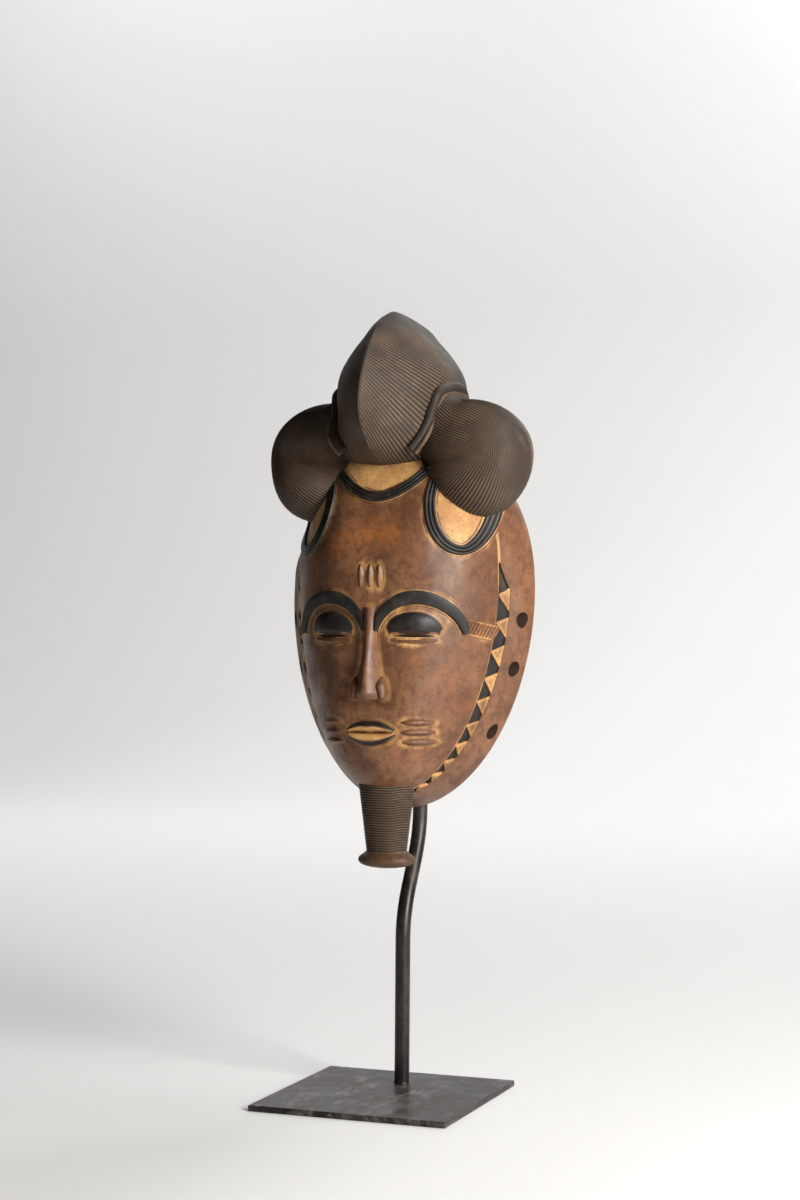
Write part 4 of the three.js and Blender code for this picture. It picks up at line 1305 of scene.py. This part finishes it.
def carved_wood():
    s = Shader("carved_wood")
    broad = s.noise(14, 3, 0.6)
    blotch = s.noise(48, 4, 0.62, distortion=0.4)
    speck = s.noise(520, 3, 0.7)
    grain = s.noise(240, 4, 0.6, s.stretched((1, 1, 0.09)))
    smear = s.noise(70, 4, 0.6, s.stretched((1, 1, 0.3)))

    brown = s.mix(s.spread(broad, 0.35, 0.68), (0.160, 0.068, 0.030), (0.252, 0.116, 0.056))
    brown = s.mix(s.spread(blotch, 0.46, 0.64, 0, 0.78), brown, (0.105, 0.040, 0.019))
    brown = s.mix(s.spread(grain, 0.5, 0.75, 0, 0.45), brown, (0.10, 0.036, 0.018))
    brown = s.mix(s.spread(s.noise(170, 6, 0.75), 0.46, 0.62, 0, 0.72), brown, (0.085, 0.034, 0.017))
    rubbed = s.spread(s.noise(85, 5, 0.68), 0.54, 0.72, 0, 0.5)
    brown = s.mix(rubbed, brown, (0.33, 0.15, 0.068))
    worn = s.maths("MULTIPLY", s.tone("red"), s.spread(s.noise(120, 5, 0.7), 0.42, 0.6))
    brown = s.mix(worn, brown, (0.38, 0.125, 0.034))
    brown = s.mix(s.spread(speck, 0.6, 0.72, 0, 0.75), brown, (0.040, 0.017, 0.010))

    gold = s.mix(s.spread(blotch, 0.35, 0.7), (0.66, 0.37, 0.135), (0.42, 0.205, 0.070))
    gold = s.mix(s.spread(s.noise(160, 4, 0.7), 0.55, 0.72, 0, 0.6), gold, (0.27, 0.115, 0.040))
    gold = s.mix(s.spread(speck, 0.55, 0.68, 0, 0.7), gold, (0.17, 0.070, 0.028))
    uneven = s.maths("MULTIPLY", s.maths("SUBTRACT", smear, 0.5), 1.5)
    gilt = s.spread(s.maths("ADD", s.tone("ochre"), uneven), 0.3, 0.95)
    colour = s.mix(gilt, brown, gold)

    soot = s.spread(s.noise(90, 5, 0.65), 0.45, 0.75)
    black = s.mix(soot, (0.010, 0.008, 0.007), (0.040, 0.030, 0.023))
    chipped = s.maths("MULTIPLY", s.maths("SUBTRACT", s.noise(300, 4, 0.7), 0.5), 0.7)
    painted = s.spread(s.maths("ADD", s.tone("paint"), chipped), 0.4, 0.62)
    colour = s.mix(painted, colour, black)

    dust = s.spread(s.noise(60, 5, 0.7), 0.3, 0.7, 0.35, 1.0)
    ridge = s.maths("MULTIPLY", s.spread(s.tone("ridge"), 0.15, 1.0), dust)
    hair = s.mix(s.spread(broad, 0.35, 0.7), (0.020, 0.013, 0.009), (0.038, 0.024, 0.015))
    hair = s.mix(ridge, hair, (0.20, 0.122, 0.068))
    hair = s.mix(s.spread(blotch, 0.62, 0.75, 0, 0.5), hair, (0.10, 0.042, 0.019))
    combed = s.tone("hair")
    colour = s.mix(combed, colour, hair)

    raw = s.mix(s.spread(smear, 0.35, 0.7), (0.10, 0.050, 0.026), (0.19, 0.105, 0.055))
    raw = s.mix(s.spread(grain, 0.5, 0.75, 0, 0.6), raw, (0.05, 0.024, 0.013))
    # Bare wood that carries the paint tone (the walls of the eye slits and rim holes) turns dark brown:
    # painted shade in those cuts.
    raw = s.mix(s.tone("paint"), raw, (0.045, 0.022, 0.012))
    bare = s.tone("bare")
    colour = s.mix(bare, colour, raw)

    shine = s.spread(blotch, 0.3, 0.75, 0.36, 0.54)
    shine = s.maths("ADD", shine, s.maths("MULTIPLY", gilt, 0.16))
    shine = s.maths("ADD", shine, s.maths("MULTIPLY", bare, 0.3))
    shine = s.maths("ADD", shine, s.maths("MULTIPLY", painted, 0.06))
    shine = s.maths("ADD", shine, s.maths("MULTIPLY", combed, 0.22), clamp=True)
    normal = s.bump(grain, 0.12, 0.5)
    normal = s.bump(s.noise(150, 5, 0.6), 0.25, 0.45, normal)
    normal = s.bump(speck, 0.08, 0.5, normal)
    return s.dress(colour, shine, normal, specular=0.4)


def black_rod():
    s = Shader("black_rod")
    patina = s.noise(70, 5, 0.65, s.stretched((1, 1, 0.35)))
    fleck = s.noise(420, 3, 0.7)
    colour = s.mix(s.spread(patina, 0.4, 0.7), (0.022, 0.019, 0.017), (0.075, 0.058, 0.048))
    colour = s.mix(s.spread(fleck, 0.62, 0.75, 0, 0.6), colour, (0.10, 0.085, 0.07))
    normal = s.bump(fleck, 0.05, 0.4)
    return s.dress(colour, s.spread(patina, 0.3, 0.7, 0.3, 0.5), normal, 0.55)


def dark_plate():
    s = Shader("dark_plate")
    cloud = s.noise(38, 6, 0.7, distortion=0.6)
    scuff = s.noise(110, 6, 0.75, s.stretched((1, 0.35, 1)), 0.8)
    fleck = s.noise(600, 3, 0.7)
    colour = s.mix(s.spread(cloud, 0.4, 0.66), (0.012, 0.009, 0.008), (0.062, 0.053, 0.046))
    colour = s.mix(s.spread(scuff, 0.5, 0.68, 0, 0.85), colour, (0.17, 0.152, 0.135))
    colour = s.mix(s.spread(fleck, 0.62, 0.72, 0, 0.8), colour, (0.02, 0.017, 0.015))
    normal = s.bump(scuff, 0.05, 0.35)
    return s.dress(colour, s.spread(cloud, 0.3, 0.75, 0.27, 0.55), normal, 0.1, 0.2)


for piece, node, slot, material in (
    (mask, "mask", "carved_wood", carved_wood()),
    (bent_rod, "stand_rod", "black_rod", black_rod()),
    (foot_plate, "stand_foot", "dark_plate", dark_plate()),
):
    piece.data.materials.clear()
    piece.data.materials.append(material)
    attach(piece, "root")
    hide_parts(node)

# Floor, backdrop, lights and camera


def sweep():
    """A pale floor that curves up into a backdrop behind the stand."""
    floor_front = -4.0
    floor_back = 1.9
    radius = 0.9
    top = 4.5
    half_width = 5.0
    turn = np.linspace(0, np.pi / 2, 24)
    wall = floor_back + radius
    y = np.concatenate([[floor_front, floor_back - 0.3], floor_back + radius * np.sin(turn), [wall]])
    z = np.concatenate([[0.0, 0.0], radius * (1 - np.cos(turn)), [top]])
    points = [(x, py, pz) for x in (-half_width, half_width) for py, pz in zip(y, z)]
    count = len(y)
    faces = [(i, i + count, i + count + 1, i + 1) for i in range(count - 1)]
    mesh = bpy.data.meshes.new("sweep")
    mesh.from_pydata(points, [], faces)
    for face in mesh.polygons:
        face.use_smooth = True
    piece = bpy.data.objects.new("sweep", mesh)
    bpy.context.scene.collection.objects.link(piece)
    paper = bpy.data.materials.new("pale_paper")
    paper.use_nodes = True
    surface = paper.node_tree.nodes["Principled BSDF"]
    surface.inputs["Base Color"].default_value = (0.84, 0.835, 0.825, 1)
    surface.inputs["Roughness"].default_value = 0.9
    mesh.materials.append(paper)


def area_light(name, place, target, size, energy, colour):
    light = bpy.data.lights.new(name, "AREA")
    light.shape = "RECTANGLE"
    light.size, light.size_y = size
    light.energy = energy
    light.color = colour
    lamp = bpy.data.objects.new(name, light)
    lamp.visible_camera = False
    lamp.location = place
    aim = Vector(target) - Vector(place)
    lamp.rotation_euler = aim.to_track_quat("-Z", "Y").to_euler()
    bpy.context.scene.collection.objects.link(lamp)


CAMERA_TURN = math.radians(21.328)
CAMERA_DISTANCE = 1.5088
CAMERA_SIDE = 0.0102
CAMERA_HEIGHT = 0.32685
LENS = 69.02

toward = np.array([-math.sin(CAMERA_TURN), math.cos(CAMERA_TURN), 0])
rightward = np.array([math.cos(CAMERA_TURN), math.sin(CAMERA_TURN), 0])


def from_camera(right, forward, up):
    """A place given from the middle of the foot as the camera sees it."""
    return tuple(rightward * right + toward * forward + np.array([0, 0, up]))


camera_data = bpy.data.cameras.new("camera")
camera_data.sensor_fit = "VERTICAL"
camera_data.sensor_height = 36
camera_data.sensor_width = 24
camera_data.lens = LENS
camera = bpy.data.objects.new("camera", camera_data)
camera.location = from_camera(CAMERA_SIDE, -CAMERA_DISTANCE, CAMERA_HEIGHT)
camera.rotation_euler = (math.pi / 2, 0, CAMERA_TURN)
bpy.context.scene.collection.objects.link(camera)
bpy.context.scene.camera = camera

sweep()

# Lights: place and target as the camera sees them, size in metres, power in watts, colour

for name, place, target, size, power, colour in (
    ("key", (1.05, -1.05, 0.8), (0, 0, 0.36), (0.7, 0.9), 41, (1, 0.985, 0.96)),
    ("back_wash", (1.5, 1.9, 2.2), (0.7, 2.9, 0.8), (1.8, 0.9), 45, (1, 1, 1)),
    ("top_wash", (-0.9, 2.1, 2.3), (-1.1, 2.9, 1.5), (0.9, 0.5), 16, (1, 1, 1)),
    ("floor_wash", (0.7, 0.6, 1.9), (0.3, 0.6, 0), (1, 1), 6, (1, 1, 1)),
    ("rear_fill", (-0.7, 1.9, 1.3), (0, 0, 0.32), (1, 1), 5, (1, 1, 1)),
):
    area_light(name, from_camera(*place), from_camera(*target), size, power, colour)

# The room gives little light, but shows pale where the camera looks past the backdrop

ROOM_STRENGTH = 0.02
ROOM_BRIGHTNESS = 0.8

world = bpy.data.worlds.new("room")
world.use_nodes = True
room = world.node_tree.nodes["Background"]
room.inputs["Color"].default_value = (0.95, 0.955, 0.97, 1)
seen = world.node_tree.nodes.new("ShaderNodeLightPath").outputs["Is Camera Ray"]
strength = world.node_tree.nodes.new("ShaderNodeMapRange")
strength.inputs["To Min"].default_value = ROOM_STRENGTH
strength.inputs["To Max"].default_value = ROOM_BRIGHTNESS
world.node_tree.links.new(seen, strength.inputs["Value"])
world.node_tree.links.new(strength.outputs["Result"], room.inputs["Strength"])
bpy.context.scene.world = world
bpy.context.scene.view_settings.view_transform = "Standard"
